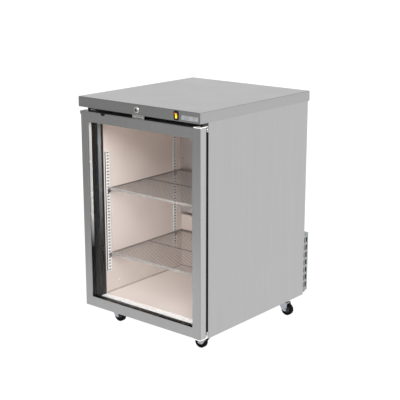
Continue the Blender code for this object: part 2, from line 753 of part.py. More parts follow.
def make_caster(place, side, trail):
    """Swivel fork with its axle, and a wheel, on a vertical axis under the rail."""
    x = CASTER_X if side == "right" else -CASTER_X
    y = CASTER_Y[place]
    way = 1 if trail > 0 else -1
    axle_x = x + trail
    name = f"{place}_{side}"
    swivel = pivot("swivel_axis_" + name, (x, y, RAIL_LOW))
    head = prism_bm(circle((x, y), 0.0210, 24), "Z", 0.0555, RAIL_LOW - GAP)
    fork = finish("caster_fork_" + name, head, ZINC, origin=swivel.location, smooth=True)
    left, right = sorted((x - way * 0.0200, x + way * 0.0370))
    crown = box_bm((left, y - 0.0150, 0.0535), (right, y + 0.0150, 0.0565))
    outline = [
        (x - way * 0.0160, 0.0560),
        (x + way * 0.0365, 0.0560),
        (axle_x + way * 0.0085, WHEEL_RADIUS),
        (axle_x + way * 0.0050, WHEEL_RADIUS - 0.0070),
        (axle_x - way * 0.0050, WHEEL_RADIUS - 0.0070),
        (axle_x - way * 0.0085, WHEEL_RADIUS),
    ]
    legs = []
    for start in (-0.0149, 0.0124):
        legs.append(prism_bm(outline, "Y", y + start, y + start + 0.0025))
    axle = prism_bm(circle((axle_x, WHEEL_RADIUS), 0.0035, 16), "Y", y - 0.0170, y + 0.0170)
    join(fork, crown, legs[0], legs[1], axle)
    fork.parent = swivel
    fork.location = (0, 0, 0)

    bore = 0.0040
    half = WHEEL_WIDTH / 2
    tread = WHEEL_RADIUS
    profile = [
        (bore, -half),
        (tread - 0.0040, -half),
        (tread, -half + 0.0035),
        (tread, half - 0.0035),
        (tread - 0.0040, half),
        (bore, half),
    ]
    roll = pivot("roll_axis_" + name, (axle_x, y, WHEEL_RADIUS))
    bm = turned_bm(profile, (axle_x, y, WHEEL_RADIUS), "Y", 28)
    finish("caster_wheel_" + name, bm, TYRE, origin=roll.location, parent=roll, smooth=True)


make_worktop()
make_side_panels()
make_back_panel()
make_base()
make_insulation()
make_liner()
make_front_frame()
make_fascia_parts()
make_hinge_brackets()
make_evaporator()
make_pilasters()
for shelf_level, shelf_top in SHELF_LEVELS.items():
    make_shelf(shelf_level, shelf_top)
make_fans()
make_machine()
make_door()
make_lock()
make_rocker()
for caster_place, caster_side, caster_trail in (
    ("front", "left", CASTER_TRAIL),
    ("front", "right", -CASTER_TRAIL),
    ("rear", "left", -CASTER_TRAIL),
    ("rear", "right", CASTER_TRAIL),
):
    make_caster(caster_place, caster_side, caster_trail)
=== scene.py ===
import math
from functools import partial
import bmesh
import bpy
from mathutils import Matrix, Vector


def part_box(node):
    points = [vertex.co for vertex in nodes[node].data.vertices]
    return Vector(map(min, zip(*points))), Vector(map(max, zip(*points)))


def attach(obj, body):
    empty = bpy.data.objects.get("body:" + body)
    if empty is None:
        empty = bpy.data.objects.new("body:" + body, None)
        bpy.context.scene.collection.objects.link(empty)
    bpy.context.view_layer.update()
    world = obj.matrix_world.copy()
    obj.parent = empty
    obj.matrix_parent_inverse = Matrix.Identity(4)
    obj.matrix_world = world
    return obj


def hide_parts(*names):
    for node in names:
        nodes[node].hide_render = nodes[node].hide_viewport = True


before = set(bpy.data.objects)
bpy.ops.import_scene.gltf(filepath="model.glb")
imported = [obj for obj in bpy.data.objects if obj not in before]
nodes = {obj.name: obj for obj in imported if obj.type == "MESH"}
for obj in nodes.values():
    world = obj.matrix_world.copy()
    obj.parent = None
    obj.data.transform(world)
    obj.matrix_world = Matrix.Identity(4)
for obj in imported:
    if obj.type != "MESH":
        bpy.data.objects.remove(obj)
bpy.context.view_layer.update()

places = {name: [Vector(corner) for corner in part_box(name)] for name in nodes}
sides = (("left", -1), ("right", 1))


def linear(code):
    # sRGB hex to the linear values a shader takes
    values = []
    for start in (0, 2, 4):
        part = int(code[start:start + 2], 16) / 255
        values.append(part / 12.92 if part <= 0.04045 else ((part + 0.055) / 1.055) ** 2.4)
    return (*values, 1.0)


def shaded(code, amount):
    return (*[min(1.0, part * amount) for part in linear(code)[:3]], 1.0)


def socketOf(source):
    # a node stands for its factor, or else for its first output
    return source.outputs.get("Fac", source.outputs[0]) if hasattr(source, "outputs") else source


def addNode(tree, kind, settings=None, links=None):
    # one node with its settings (a property, or an input by name or number) and its links;
    # a texture or mapping given no link takes the object's own coordinates, in metres
    node = tree.nodes.new("ShaderNode" + kind)
    for key, value in (settings or {}).items():
        if isinstance(key, str) and hasattr(node, key):
            setattr(node, key, value)
        else:
            node.inputs[key].default_value = value
    if links is None and kind != "TexCoord" and kind.startswith(("Tex", "Mapping")):
        links = {"Vector": tree.nodes["ownPlace"].outputs["Object"]}
    for key, source in (links or {}).items():
        tree.links.new(socketOf(source), node.inputs[key])
    return node


def startFinish(name, color, metallic, roughness, **sockets):
    # a material, how to add a node to it and how to feed its shader
    finish = bpy.data.materials.new(name)
    finish.use_nodes = True
    tree = finish.node_tree
    shader = tree.nodes["Principled BSDF"]
    shader.inputs["Base Color"].default_value = linear(color)
    shader.inputs["Metallic"].default_value = metallic
    shader.inputs["Roughness"].default_value = roughness
    for key, value in sockets.items():
        shader.inputs[key.replace("_", " ")].default_value = value
    addNode(tree, "TexCoord", {"name": "ownPlace"})
    return finish, partial(addNode, tree), partial(feed, tree, shader, color)


def feed(tree, shader, base, color=None, roughness=None, height=None, depth=0.0001, strength=0.3, **sockets):
    # color: (value, low, high), each a colour or a share of the base; roughness: (value, low, high);
    # height: a bump in metres
    if color:
        ramp = addNode(tree, "ValToRGB", None, {"Fac": color[0]})
        for element, at, shade in zip(ramp.color_ramp.elements, (0.35, 0.65), color[1:]):
            element.position = at
            element.color = shade if isinstance(shade, tuple) else shaded(base, shade)
        tree.links.new(ramp.outputs["Color"], shader.inputs["Base Color"])
    if roughness:
        spread = addNode(tree, "MapRange", {"From Min": 0.3, "From Max": 0.7, "To Min": roughness[1],
                                            "To Max": roughness[2]}, {"Value": roughness[0]})
        tree.links.new(spread.outputs[0], shader.inputs["Roughness"])
    if height:
        bump = addNode(tree, "Bump", {"Strength": strength, "Distance": depth}, {"Height": height})
        tree.links.new(bump.outputs[0], shader.inputs["Normal"])
    for key, source in sockets.items():
        tree.links.new(socketOf(source), shader.inputs[key.replace("_", " ")])


def brushedStainless(name, color, grain, roughness=0.36):
    # 430 stainless sheet, belt brushed one way: streaks with a broad soft highlight and faint hand smears
    finish, add, give = startFinish(name, color, 1.0, roughness)
    scale = [1 / 0.003] * 3                # brush lines are 0.3 mm apart, drawn ten times coarser to show
    scale["XYZ".index(grain)] = 1 / 0.4    # and run on for about 400 mm
    stretch = add("Mapping", {"Scale": scale})
    streak = add("TexNoise", {"Scale": 1.0, "Detail": 4.0}, {"Vector": stretch})
    smear = add("TexNoise", {"Scale": 1 / 0.14, "Detail": 3.0})
    both = add("Math", {"operation": "MULTIPLY_ADD", 1: 0.7}, {0: streak, 2: smear})
    even = add("Math", {"operation": "MULTIPLY", 1: 0.6}, {0: both})
    give((streak, 0.965, 1.035), (even, roughness - 0.04, roughness + 0.05), streak, 0.0002, 0.05)
    return finish


def galvanisedSheet():
    # hot-dip zinc coat: dull flakes about 8 mm across, each with its own grey and sheen
    finish, add, give = startFinish("galvanisedSheet", "999c9c", 0.8, 0.44)
    flake = add("TexVoronoi", {"Scale": 1 / 0.008})
    tone = add("SeparateColor", None, {0: flake.outputs["Color"]})
    dust = add("TexNoise", {"Scale": 1 / 0.06, "Detail": 3.0})
    give((tone, 0.90, 1.08), (dust, 0.36, 0.54), tone.outputs[1], 0.00005, 0.1)
    return finish


def platedSteel(name, color, roughness, shine=1.0):
    # barrel plated pressing: a thin even shine with 1 mm rolling texture and slightly cloudy patches
    finish, add, give = startFinish(name, color, shine, roughness)
    rolled = add("TexNoise", {"Scale": 1 / 0.001, "Detail": 2.0})
    cloud = add("TexNoise", {"Scale": 1 / 0.018, "Detail": 3.0})
    give((cloud, 0.90, 1.06), (cloud, roughness - 0.05, roughness + 0.08), rolled, 0.00004, 0.2)
    return finish


def coatedLiner():
    # white baked coat on embossed aluminium: warm white, semi gloss, with a 3 mm pebble too low to see alone
    finish, add, give = startFinish("bakedWhiteLiner", "f3e7e0", 0.0, 0.40)
    pebble = add("TexNoise", {"Scale": 1 / 0.003, "Detail": 1.0})
    wiped = add("TexNoise", {"Scale": 1 / 0.20, "Detail": 3.0})
    give((wiped, 0.965, 1.0), (wiped, 0.34, 0.48), pebble, 0.00015, 0.15)
    return finish


def mouldedPlastic(name, color, roughness, grit=0.0007, **sockets):
    # injection moulded part: spark-eroded mould grain in the bump, gloss that varies a little over the part
    finish, add, give = startFinish(name, color, 0.0, roughness, **sockets)
    grain = add("TexNoise", {"Scale": 1 / grit, "Detail": 2.0})
    flow = add("TexNoise", {"Scale": 1 / 0.03, "Detail": 3.0})
    give((flow, 0.88, 1.12), (flow, roughness - 0.06, roughness + 0.08), grain, 0.00008, 0.3)
    return finish


def extrudedTrim(name, color, roughness, grain):
    # extruded PVC: drawn lines along its length from the die, drawn at 1.5 mm so that they show
    finish, add, give = startFinish(name, color, 0.0, roughness)
    scale = [1 / 0.0015] * 3
    scale["XYZ".index(grain)] = 1 / 0.3
    stretch = add("Mapping", {"Scale": scale})
    line = add("TexNoise", {"Scale": 1.0, "Detail": 2.0}, {"Vector": stretch})
    give((line, 0.75, 1.3), (line, roughness - 0.08, roughness + 0.10), line, 0.0002, 0.3)
    return finish


def paintShadeAndReflection(finish, lowZ, highZ, dark, bright, faces="all"):
    # painted reflection and painted shade, darker towards the bottom: on bright edges it stands in for what they
    # mirror (a lit room high up, dark seals below), and low on the door, the liner and the glass spacer for shade;
    # every face or the front ones darken downwards, or lips to the sides take the fall alone
    tree = finish.node_tree
    color, metallic = [tree.nodes["Principled BSDF"].inputs[name] for name in ("Base Color", "Metallic")]
    plain = color.links[0].from_socket
    height = addNode(tree, "SeparateXYZ", None, {0: tree.nodes["ownPlace"].outputs["Object"]})
    level = addNode(tree, "MapRange", {"From Min": lowZ, "From Max": highZ}, {"Value": height.outputs[2]})
    fall = addNode(tree, "Mix", {"data_type": "RGBA", 6: linear(dark), 7: linear(bright)}, {0: level.outputs[0]})
    mixed = addNode(tree, "Mix", {"data_type": "RGBA", 0: 1.0}, {6: plain, 7: fall.outputs[2]})
    mixed.blend_type = "MIX" if faces == "lips" else "MULTIPLY"
    if faces != "all":
        normal = addNode(tree, "NewGeometry").outputs["Normal"]
        facing = addNode(tree, "SeparateXYZ", None, {0: normal})
        size = addNode(tree, "Math", {"operation": "ABSOLUTE"}, {0: facing.outputs[0]})
        chosen = addNode(tree, "Math", {1: 0.5}, {0: size.outputs[0]})
        chosen.operation = "GREATER_THAN" if faces == "lips" else "LESS_THAN"
        tree.links.new(chosen.outputs[0], mixed.inputs[0])
    if faces == "lips":
        dull = addNode(tree, "MapRange", {"To Min": 1.0, "To Max": 0.3}, {"Value": chosen.outputs[0]})
        tree.links.new(dull.outputs[0], metallic)
    tree.links.new(mixed.outputs[2], color)


def magneticGasket():
    # soft black vinyl with bellows folds every 4 mm of its depth; its colour is lighter on the crests of the folds
    # and darker in their troughs, and a dust pattern varies its gloss
    finish, add, give = startFinish("vinylBellows", "0a0a0b", 0.0, 0.55)
    fold = add("TexWave", {"bands_direction": "Y", "Scale": 2 * math.pi / 20 / 0.004})
    dust = add("TexNoise", {"Scale": 1 / 0.02, "Detail": 4.0})
    give((fold, 0.6, 1.6), (dust, 0.46, 0.66), fold, 0.0012, 0.6)
    return finish


def floatGlass():
    # clear float glass: nothing of its own but a mirror that grows towards a glancing look, and wiping haze
    finish, add, give = startFinish("floatGlass", "eef4f2", 1.0, 0.02)
    haze = add("TexNoise", {"Scale": 1 / 0.12, "Detail": 4.0})
    give(None, (haze, 0.01, 0.06))
    facing = add("LayerWeight", {"Blend": 0.5})
    steep = add("Math", {"operation": "POWER", 1: 5.0}, {0: facing.outputs["Facing"]})
    mirror = add("Math", {"operation": "MULTIPLY_ADD", 1: 0.85, 2: 0.003}, {0: steep})
    give(Alpha=mirror)
    return finish


def perforatedSpacer():
    # bright roll-formed aluminium bar with two rows of breathing holes 5 mm apart
    finish, add, give = startFinish("perforatedAluminium", "ffffff", 0.40, 0.26)
    hole = add("TexVoronoi", {"Scale": 1 / 0.005, "Randomness": 0.0})
    drift = add("TexNoise", {"Scale": 1 / 0.05, "Detail": 2.0})
    give((hole, 0.88, linear("ffffff")), (drift, 0.16, 0.32), hole, 0.0003, 0.05)
    return finish


def coatedWire(name, color):
    # steel wire under a grey-beige epoxy coat: thick glossy paint with slow sags along each wire
    finish, add, give = startFinish(name, color, 0.35, 0.38)
    sag = add("TexNoise", {"Scale": 1 / 0.012, "Detail": 2.0})
    give((sag, 0.85, 1.15), (sag, 0.30, 0.48), sag, 0.0003, 0.3)
    return finish


def rigidFoam():
    # poured urethane: matt tan with 1.5 mm cells where it is cut
    finish, add, give = startFinish("rigidUrethaneFoam", "d6c48c", 0.0, 0.92)
    cell = add("TexVoronoi", {"Scale": 1 / 0.0015})
    give((cell, 0.8, 1.05), (cell, 0.86, 0.97), cell, 0.0005, 0.6)
    return finish


def stoveEnamel():
    # baked black enamel on the pump's shell: deep gloss with a 2 mm orange peel
    finish, add, give = startFinish("bakedBlackEnamel", "151515", 0.0, 0.22)
    peel = add("TexNoise", {"Scale": 1 / 0.002, "Detail": 1.0})
    dust = add("TexNoise", {"Scale": 1 / 0.05, "Detail": 4.0})
    give((dust, 0.8, shaded("232322", 1.2)), (dust, 0.18, 0.36), peel, 0.00015, 0.25)
    return finish


def litRocker():
    # amber polycarbonate with a lamp low down behind it: yellow below, deeper orange above
    finish, add, give = startFinish("amberPolycarbonate", "f39a12", 0.0, 0.20, Emission_Strength=0.75)
    low, high = places["rocker_switch"]
    height = add("SeparateXYZ", None, {0: add("TexCoord").outputs["Object"]})
    level = add("MapRange", {"From Min": low.z, "From Max": high.z}, {"Value": height.outputs[2]})
    mottle = add("TexNoise", {"Scale": 1 / 0.002, "Detail": 1.0})
    give((level, linear("ffd21e"), linear("f08a1c")), (mottle, 0.14, 0.26), mottle, 0.0001, 0.1)
    glow = add("ValToRGB", None, {"Fac": level})
    glow.color_ramp.elements[0].color, glow.color_ramp.elements[1].color = linear("ffc400"), linear("d05a10")
    give(Emission_Color=glow.outputs["Color"])
    return finish


def opalDiffuser():
    # opal acrylic with 3 mm ribs that spread the lamp's light
    finish, add, give = startFinish("opalAcrylic", "fff3e6", 0.0, 0.35, Emission_Color=linear("ffe3cf"),
                                    Emission_Strength=studio["cabinetLamp"])
    rib = add("TexWave", {"bands_direction": "X", "Scale": 2 * math.pi / 20 / 0.003})
    give((rib, 0.93, linear("fff3e6")), (rib, 0.28, 0.42), rib, 0.0005, 0.4)
    return finish


def finStock():
    # thin aluminium fins pressed with small waves, dull with dust at their edges
    finish, add, give = startFinish("rippledFinStock", "b4b6b9", 1.0, 0.38)
    ripple = add("TexWave", {"bands_direction": "Z", "Scale": 2 * math.pi / 20 / 0.006})
    dust = add("TexNoise", {"Scale": 1 / 0.03, "Detail": 4.0})
    give((dust, 0.8, 1.05), (dust, 0.32, 0.52), ripple, 0.0004, 0.3)
    return finish


def drawnCopper():
    # drawn copper tube: warm metal browned in clouds, brighter where it was handled
    finish, add, give = startFinish("drawnCopper", "b87348", 1.0, 0.32)
    brown = add("TexNoise", {"Scale": 1 / 0.015, "Detail": 4.0})
    give((brown, linear("8a5436"), linear("c98a5e")), (brown, 0.26, 0.46), brown, 0.0001, 0.1)
    return finish


studio = {
    "floorSize": 60.0,
    "floorColor": "262626",
    "floorGlow": 1.0,
    "floorWay": (-0.64, -0.768, 0.0),    # the floor's glow falls off this way, over these reaches, to this
    "floorReach": (0.55, 2.4),
    "floorFar": 0.34,
    "skyColor": "ffffff",
    "tentWay": (-0.35, -0.94, 0.0),
    "tentFront": 0.38,
    "cabinetLamp": 3.9,
    "camera": (2.525, -3.020, 1.535),
    "cameraTurn": (75.27, 0.0, 39.80),
    "lens": 90.85,
}

# one 430 stainless in five copies: grain and gloss follow each piece, and each copy's base colour is set lighter
# or darker to give that piece its brightness under the studio light, painted light and shade rather than a
# different steel
steelTop = brushedStainless("brushedStainlessTop", "a8a8a8", "X")
steelSide = brushedStainless("brushedStainlessSide", "b0b0b0", "Z")
steelDoor = brushedStainless("brushedStainlessDoor", "b5b5b5", "Z", 0.34)
steelFrame = brushedStainless("brushedStainlessFrame", "a6a7a9", "Z", 0.26)
steelCover = brushedStainless("brushedStainlessCover", "e6e5e6", "Z", 0.40)
galvanised = galvanisedSheet()
zinc = platedSteel("zincPlatedPressing", "a8abb2", 0.34)
nickel = platedSteel("brightNickelPlate", "e6e4e0", 0.20)
lockSatin = platedSteel("satinLockNickel", "8f8d88", 0.38)
lockBright = platedSteel("brightLockNickel", "d6d4d0", 0.24, 0.75)
bracketZinc = platedSteel("brightZincBracket", "f4f3f1", 0.30, 0.30)
# dark backings behind the pilaster slots, where there is only shade: painted shade, paler for the rear pair so
# that they read brighter, painted light
darkSlotShade = mouldedPlastic("darkPaintedSlotShade", "2a2826", 0.80)
paleSlotShade = mouldedPlastic("palePaintedSlotShade", "5a5653", 0.80)
stripWhite = platedSteel("brightZincStrip", "ffffff", 0.40, 0.0)
linerWhite = coatedLiner()
sillWhite = mouldedPlastic("whiteSillExtrusion", "ffffff", 0.30)
blackTrim = extrudedTrim("blackExtrudedPvc", "0d0d0e", 0.42, "Z")
blackRail = extrudedTrim("blackRecessPvc", "191a1c", 0.50, "X")
gasketBlack = magneticGasket()
glass = floatGlass()
spacerBar = perforatedSpacer()
wirePaint = coatedWire("epoxyCoatedWire", "8e8885")
# a lighter copy of the same coated wire for the shelves' front rims: a painted highlight
litRimPaint = coatedWire("epoxyWireLitRim", "b8b4b0")
foamYellow = rigidFoam()
finMetal = finStock()
enamel = stoveEnamel()
amber = litRocker()
badgeSatin = platedSteel("satinBadgePlate", "cfd1d3", 0.30, 0.85)
tyreBlack = mouldedPlastic("blackTyreRubber", "030303", 0.70, Specular_IOR_Level=0.12)
hubGrey = mouldedPlastic("greyHubNylon", "2c2d2f", 0.48)
# the liner's own coat, darker where its floor meets the walls: painted shade in the corner
coveShade = mouldedPlastic("linerCoveShade", "b4a8a1", 0.46)
fanBlack = mouldedPlastic("blackFanNylon", "1c1d1f", 0.42)
switchBlack = mouldedPlastic("blackSwitchNylon", "121212", 0.36)
opal = opalDiffuser()
trayGrey = mouldedPlastic("greyTrayAbs", "55585a", 0.46)
copper = drawnCopper()
# painted light: the frame's lips take a painted reflection, black low and pale high, and the door fronts, the
# glass spacer and the liner take painted shade, darker towards the bottom
paintShadeAndReflection(steelFrame, 0.30, 0.86, "010101", "b4bbc1", faces="lips")
paintShadeAndReflection(steelDoor, 0.12, 0.60, "e8e8e8", "ffffff", faces="front")
paintShadeAndReflection(spacerBar, 0.33, 0.48, "08080a", "f2f2f2")
paintShadeAndReflection(linerWhite, 0.12, 0.46, "eeeeee", "ffffff")

carried = (
    (steelTop, "worktop"), (steelSide, "side_panel_left", "side_panel_right"),
    (steelFrame, "front_frame"), (steelDoor, "door_frame"), (steelCover, "evaporator_cover"),
    (galvanised, "back_panel", "bottom_pan", "caster_rail_left", "caster_rail_right", "rear_cover"),
    (linerWhite, "inner_liner", "liner_back_wall"), (sillWhite, "front_sill"),
    (lockBright, "lock_housing"), (lockSatin, "lock_cylinder"),
    (bracketZinc, "hinge_bracket_top", "hinge_bracket_bottom", "strike_plate"),
    (blackTrim, "breaker_frame", "door_inner_frame", "cord_gland"), (blackRail, "recess_trim"),
    (switchBlack, "switch_bezel"), (gasketBlack, "door_gasket"), (glass, "outer_glass", "inner_glass"),
    (spacerBar, "glass_spacer"), (wirePaint, "shelf_upper", "shelf_lower"), (foamYellow, "insulation_foam"),
    (finMetal, "evaporator_coil", "condenser_coil"), (enamel, "compressor"), (amber, "rocker_switch"),
    (badgeSatin, "badge_plate"), (fanBlack, "evaporator_fan", "condenser_fan"), (opal, "interior_light"),
    (trayGrey, "condensate_tray"),
    (nickel, *[name for name in nodes if name.startswith("pilaster_")]),
    (zinc, *[name for name in nodes if name.startswith(("shelf_clip_", "caster_fork_"))]),
    (tyreBlack, *[name for name in nodes if name.startswith("caster_wheel_")]),
)
for finish, *names in carried:
    for name in names:
        nodes[name].data.materials.clear()
        nodes[name].data.materials.append(finish)
print("finishes on the packed nodes")


def leaveEdit():
    bpy.ops.object.mode_set(mode="OBJECT")


def onlyActive(*objects):
    if bpy.context.object and bpy.context.object.mode != "OBJECT":
        leaveEdit()
    bpy.ops.object.select_all(action="DESELECT")
    for thing in objects:
        thing.select_set(True)
        bpy.context.view_layer.objects.active = thing


def settle(thing, name):
    # its place goes into its mesh, and the object stays at the origin
    onlyActive(thing)
    bpy.ops.object.transform_apply(location=True, rotation=True, scale=True)
    thing.name = thing.data.name = name
    return thing


def addBlock(name, low, high):
    low, high = Vector(low), Vector(high)
    onlyActive()
    bpy.ops.mesh.primitive_cube_add(size=1, location=(low + high) / 2, scale=high - low)
    return settle(bpy.context.object, name)


def addRound(name, start, end, radius, faces=16):
    # a round bar between two points
    start, end = Vector(start), Vector(end)
    turn = Vector((0, 0, 1)).rotation_difference(end - start).to_euler()
    onlyActive()
    bpy.ops.mesh.primitive_cylinder_add(radius=radius, depth=(end - start).length, vertices=faces,
                                        location=(start + end) / 2, rotation=turn)
    return settle(bpy.context.object, name)


def addDisc(name, x, z, near, far, radius, faces=16):
    # a round bar that runs front to back
    return addRound(name, (x, near, z), (x, far, z), radius, faces)


def addRing(name, middle, axis, radius, wire, around=48, faces=8):
    onlyActive()
    turn = Vector((0, 0, 1)).rotation_difference(Vector(axis)).to_euler()
    bpy.ops.mesh.primitive_torus_add(major_radius=radius, minor_radius=wire, major_segments=around,
                                     minor_segments=faces, location=middle, rotation=turn)
    return settle(bpy.context.object, name)


def pick(thing, kind, test):
    # edit mode with only the faces, edges or corners that pass the test selected
    onlyActive(thing)
    bpy.ops.object.mode_set(mode="EDIT")
    bpy.ops.mesh.select_mode(type=kind)
    bpy.ops.mesh.select_all(action="DESELECT")
    mesh = bmesh.from_edit_mesh(thing.data)
    for item in {"FACE": mesh.faces, "EDGE": mesh.edges, "VERT": mesh.verts}[kind]:
        if test(item):
            item.select_set(True)
    mesh.select_flush_mode()
    bmesh.update_edit_mesh(thing.data)


def nudge(thing, test, by):
    pick(thing, "VERT", test)
    bpy.ops.transform.translate(value=by)
    leaveEdit()


def middleOf(edge):
    return (edge.verts[0].co + edge.verts[1].co) / 2


def sharp(edge):
    return edge.calc_face_angle(0) > 0.7


def goesBack(edge):
    return abs(edge.verts[0].co.y - edge.verts[1].co.y) > 0.0005


def upright(edge):
    return abs(edge.verts[0].co.z - edge.verts[1].co.z) > 0.0005


def roundEdges(thing, width, segments=2, test=sharp):
    pick(thing, "EDGE", test)
    bpy.ops.mesh.bevel(offset=width, segments=segments, affect="EDGES", clamp_overlap=True)
    leaveEdit()
    return thing


def modify(thing, kind, **settings):
    onlyActive(thing)
    modifier = thing.modifiers.new(kind.lower(), kind)
    for key, value in settings.items():
        setattr(modifier, key, value)
    bpy.ops.object.modifier_apply(modifier=modifier.name)
    return thing


def repeat(thing, count, step):
    return modify(thing, "ARRAY", count=count, use_relative_offset=False, use_constant_offset=True,
                  constant_offset_displace=step)


def drill(tool, *things):
    # the tool is cut out of each thing, and goes
    for thing in things:
        modify(thing, "BOOLEAN", operation="DIFFERENCE", object=tool, solver="EXACT")
    bpy.data.objects.remove(tool, do_unlink=True)


def cutOut(thing, *tools):
    for tool in tools:
        drill(tool, thing)
    return thing


def fuse(thing, *others):
    onlyActive(*others, thing)
    bpy.ops.object.join()
    return thing


def twin(thing, name, shift=(0, 0, 0), mirror=None):
    # a copy with its own mesh, moved, or mirrored in the plane x = 0 or y = 0
    copied = thing.copy()
    copied.data = thing.data.copy()
    bpy.context.collection.objects.link(copied)
    copied.location = shift
    if mirror:
        scale = [1, 1, 1]
        scale["xy".index(mirror)] = -1
        copied.scale = scale
    settle(copied, name)
    if mirror:
        pick(copied, "FACE", lambda face: True)
        bpy.ops.mesh.normals_make_consistent(inside=False)
        leaveEdit()
    return copied


def turned(thing, middle, axis, degrees):
    onlyActive(thing)
    bpy.ops.object.mode_set(mode="EDIT")
    bpy.ops.mesh.select_all(action="SELECT")
    bpy.ops.transform.rotate(value=-math.radians(degrees), orient_axis=axis, center_override=middle)
    leaveEdit()
    return thing


def done(thing, finish, body, slot, *replaced, angle=35):
    onlyActive(thing)
    bpy.ops.object.shade_smooth_by_angle(angle=math.radians(angle))
    thing.data.materials.clear()
    thing.data.materials.append(finish)
    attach(thing, body)
    if replaced:
        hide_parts(*replaced)
    return thing


shelf = {"pitch": 0.0121, "wire": 0.00125, "rim": 0.0022, "side": 0.0031, "rail": 0.0024}


def makeShelf(level):
    # wires run front to back over one cross rail, between side bars and a double front and rear rim
    low, high = places["shelf_" + level]
    top, middle = high.z, (low.y + high.y) / 2
    sideX = high.x - shelf["side"]
    count = int(2 * (sideX - 0.004) / shelf["pitch"]) + 1
    start = -shelf["pitch"] * (count - 1) / 2
    body = addRound("wireShelf_" + level, (start, low.y + 0.002, top - shelf["wire"]),
                    (start, high.y - 0.002, top - shelf["wire"]), shelf["wire"], 6)
    repeat(body, count, (shelf["pitch"], 0, 0))
    bars, front = [], []
    for y, rims in ((low.y + shelf["rim"], front), (high.y - shelf["rim"], bars)):
        for z in (top - 2 * shelf["wire"] - shelf["rim"], top - 2 * shelf["wire"] - shelf["rim"] - 0.0048):
            rims.append(addRound("frontRim_" + level, (-sideX, y, z), (sideX, y, z), shelf["rim"], 12))
    # the front rims take the lighter wire paint, a painted highlight
    done(fuse(*front), litRimPaint, level + "_shelf", "shelf_wire", angle=60)
    for x in (-sideX, sideX):
        z = top - 2 * shelf["wire"] - shelf["side"]
        bars.append(addDisc("side", x, z, low.y + 0.001, high.y - 0.001, shelf["side"], 10))
    z = top - 2 * shelf["wire"] - shelf["rail"]
    bars.append(addRound("rail", (-sideX, middle, z), (sideX, middle, z), shelf["rail"], 10))
    fuse(body, *bars)
    return done(body, wirePaint, level + "_shelf", "shelf_wire", "shelf_" + level, angle=60)


for level in ("upper", "lower"):
    makeShelf(level)
print("wire shelves")

pilaster = {"slotPitch": 0.0127, "slotWide": 0.0095, "slotHigh": 0.0042, "sheet": 0.0007}


def makePilaster():
    # a shallow channel punched with one row of slots, made for the front left place
    low, high = places["pilaster_front_left"]
    rows = round((high.z - low.z) / pilaster["slotPitch"])
    onlyActive()
    bpy.ops.mesh.primitive_grid_add(x_subdivisions=1, y_subdivisions=rows, size=1,
                                    location=(high.x, (low.y + high.y) / 2, (low.z + high.z) / 2),
                                    rotation=(math.pi / 2, 0, math.pi / 2))
    bpy.context.object.scale = (high.y - low.y, high.z - low.z, 1)
    strip = settle(bpy.context.object, "slottedPilaster_front_left")
    pick(strip, "FACE", lambda face: True)
    bpy.ops.mesh.inset(thickness=(pilaster["slotPitch"] - pilaster["slotHigh"]) / 2, use_individual=True,
                       use_boundary=True)
    bpy.ops.mesh.delete(type="FACE")
    leaveEdit()
    edge = high.y - 0.00005
    pick(strip, "EDGE", lambda line: all(v.co.y > edge or v.co.y < low.y + 0.00005 for v in line.verts)
         and line.is_boundary)
    bpy.ops.mesh.extrude_region_move(TRANSFORM_OT_translate={"value": (low.x - high.x, 0, 0)})
    leaveEdit()
    modify(strip, "SOLIDIFY", thickness=pilaster["sheet"], offset=-1)
    return strip


strip = makePilaster()
frontPlace = places["pilaster_front_left"][0]
strips = {"front_left": strip}
strips["rear_left"] = twin(strip, "slottedPilaster_rear_left",
                           (0, places["pilaster_rear_left"][0].y - frontPlace.y, 0))
for place in ("front", "rear"):
    right = place + "_right"
    strips[right] = twin(strips[place + "_left"], "slottedPilaster_" + right, mirror="x")
for place, thing in strips.items():
    done(thing, stripWhite, "cabinet", "bright_steel", "pilaster_" + place)
print("slotted pilasters")

clip = {"sheet": 0.0016, "tongue": 0.0120, "drop": 0.0185, "rib": 0.0024}


def makeClip():
    # a pressed clip: a back plate, a tongue under the side bar and a stiffening bead
    low, high = places["shelf_clip_upper_front_left"]
    back = addBlock("shelfClip", (low.x, low.y + 0.001, high.z - clip["drop"]),
                    (low.x + clip["sheet"], high.y - 0.001, high.z))
    tongue = addBlock("tongue", (low.x + 0.0002, low.y + 0.001, high.z - clip["sheet"]),
                      (low.x + clip["tongue"], high.y - 0.001, high.z))
    middle = (low.y + high.y) / 2
    rib = addBlock("rib", (low.x + 0.001, middle - clip["rib"] / 2, high.z - 0.0110),
                   (low.x + 0.0100, middle + clip["rib"] / 2, high.z - 0.001))
    nudge(rib, lambda corner: corner.co.x > low.x + 0.005 and corner.co.z < high.z - 0.005, (-0.0085, 0, 0))
    for part in (back, tongue):
        roundEdges(part, 0.0006, 2)
    return fuse(back, tongue, rib)


clipModel = makeClip()
clipLow = places["shelf_clip_upper_front_left"][0]
for level in ("upper", "lower"):
    for place in ("front", "rear"):
        there = places["shelf_clip_%s_%s_left" % (level, place)][0]
        left = twin(clipModel, "shelfClip_%s_%s_left" % (level, place), there - clipLow)
        right = twin(left, "shelfClip_%s_%s_right" % (level, place), mirror="x")
        for side, thing in (("left", left), ("right", right)):
            done(thing, zinc, "cabinet", "zinc_plate", "shelf_clip_%s_%s_%s" % (level, place, side))
bpy.data.objects.remove(clipModel, do_unlink=True)
print("shelf clips")

screwHead = {"radius": 0.0035, "high": 0.0019, "slot": 0.0009}


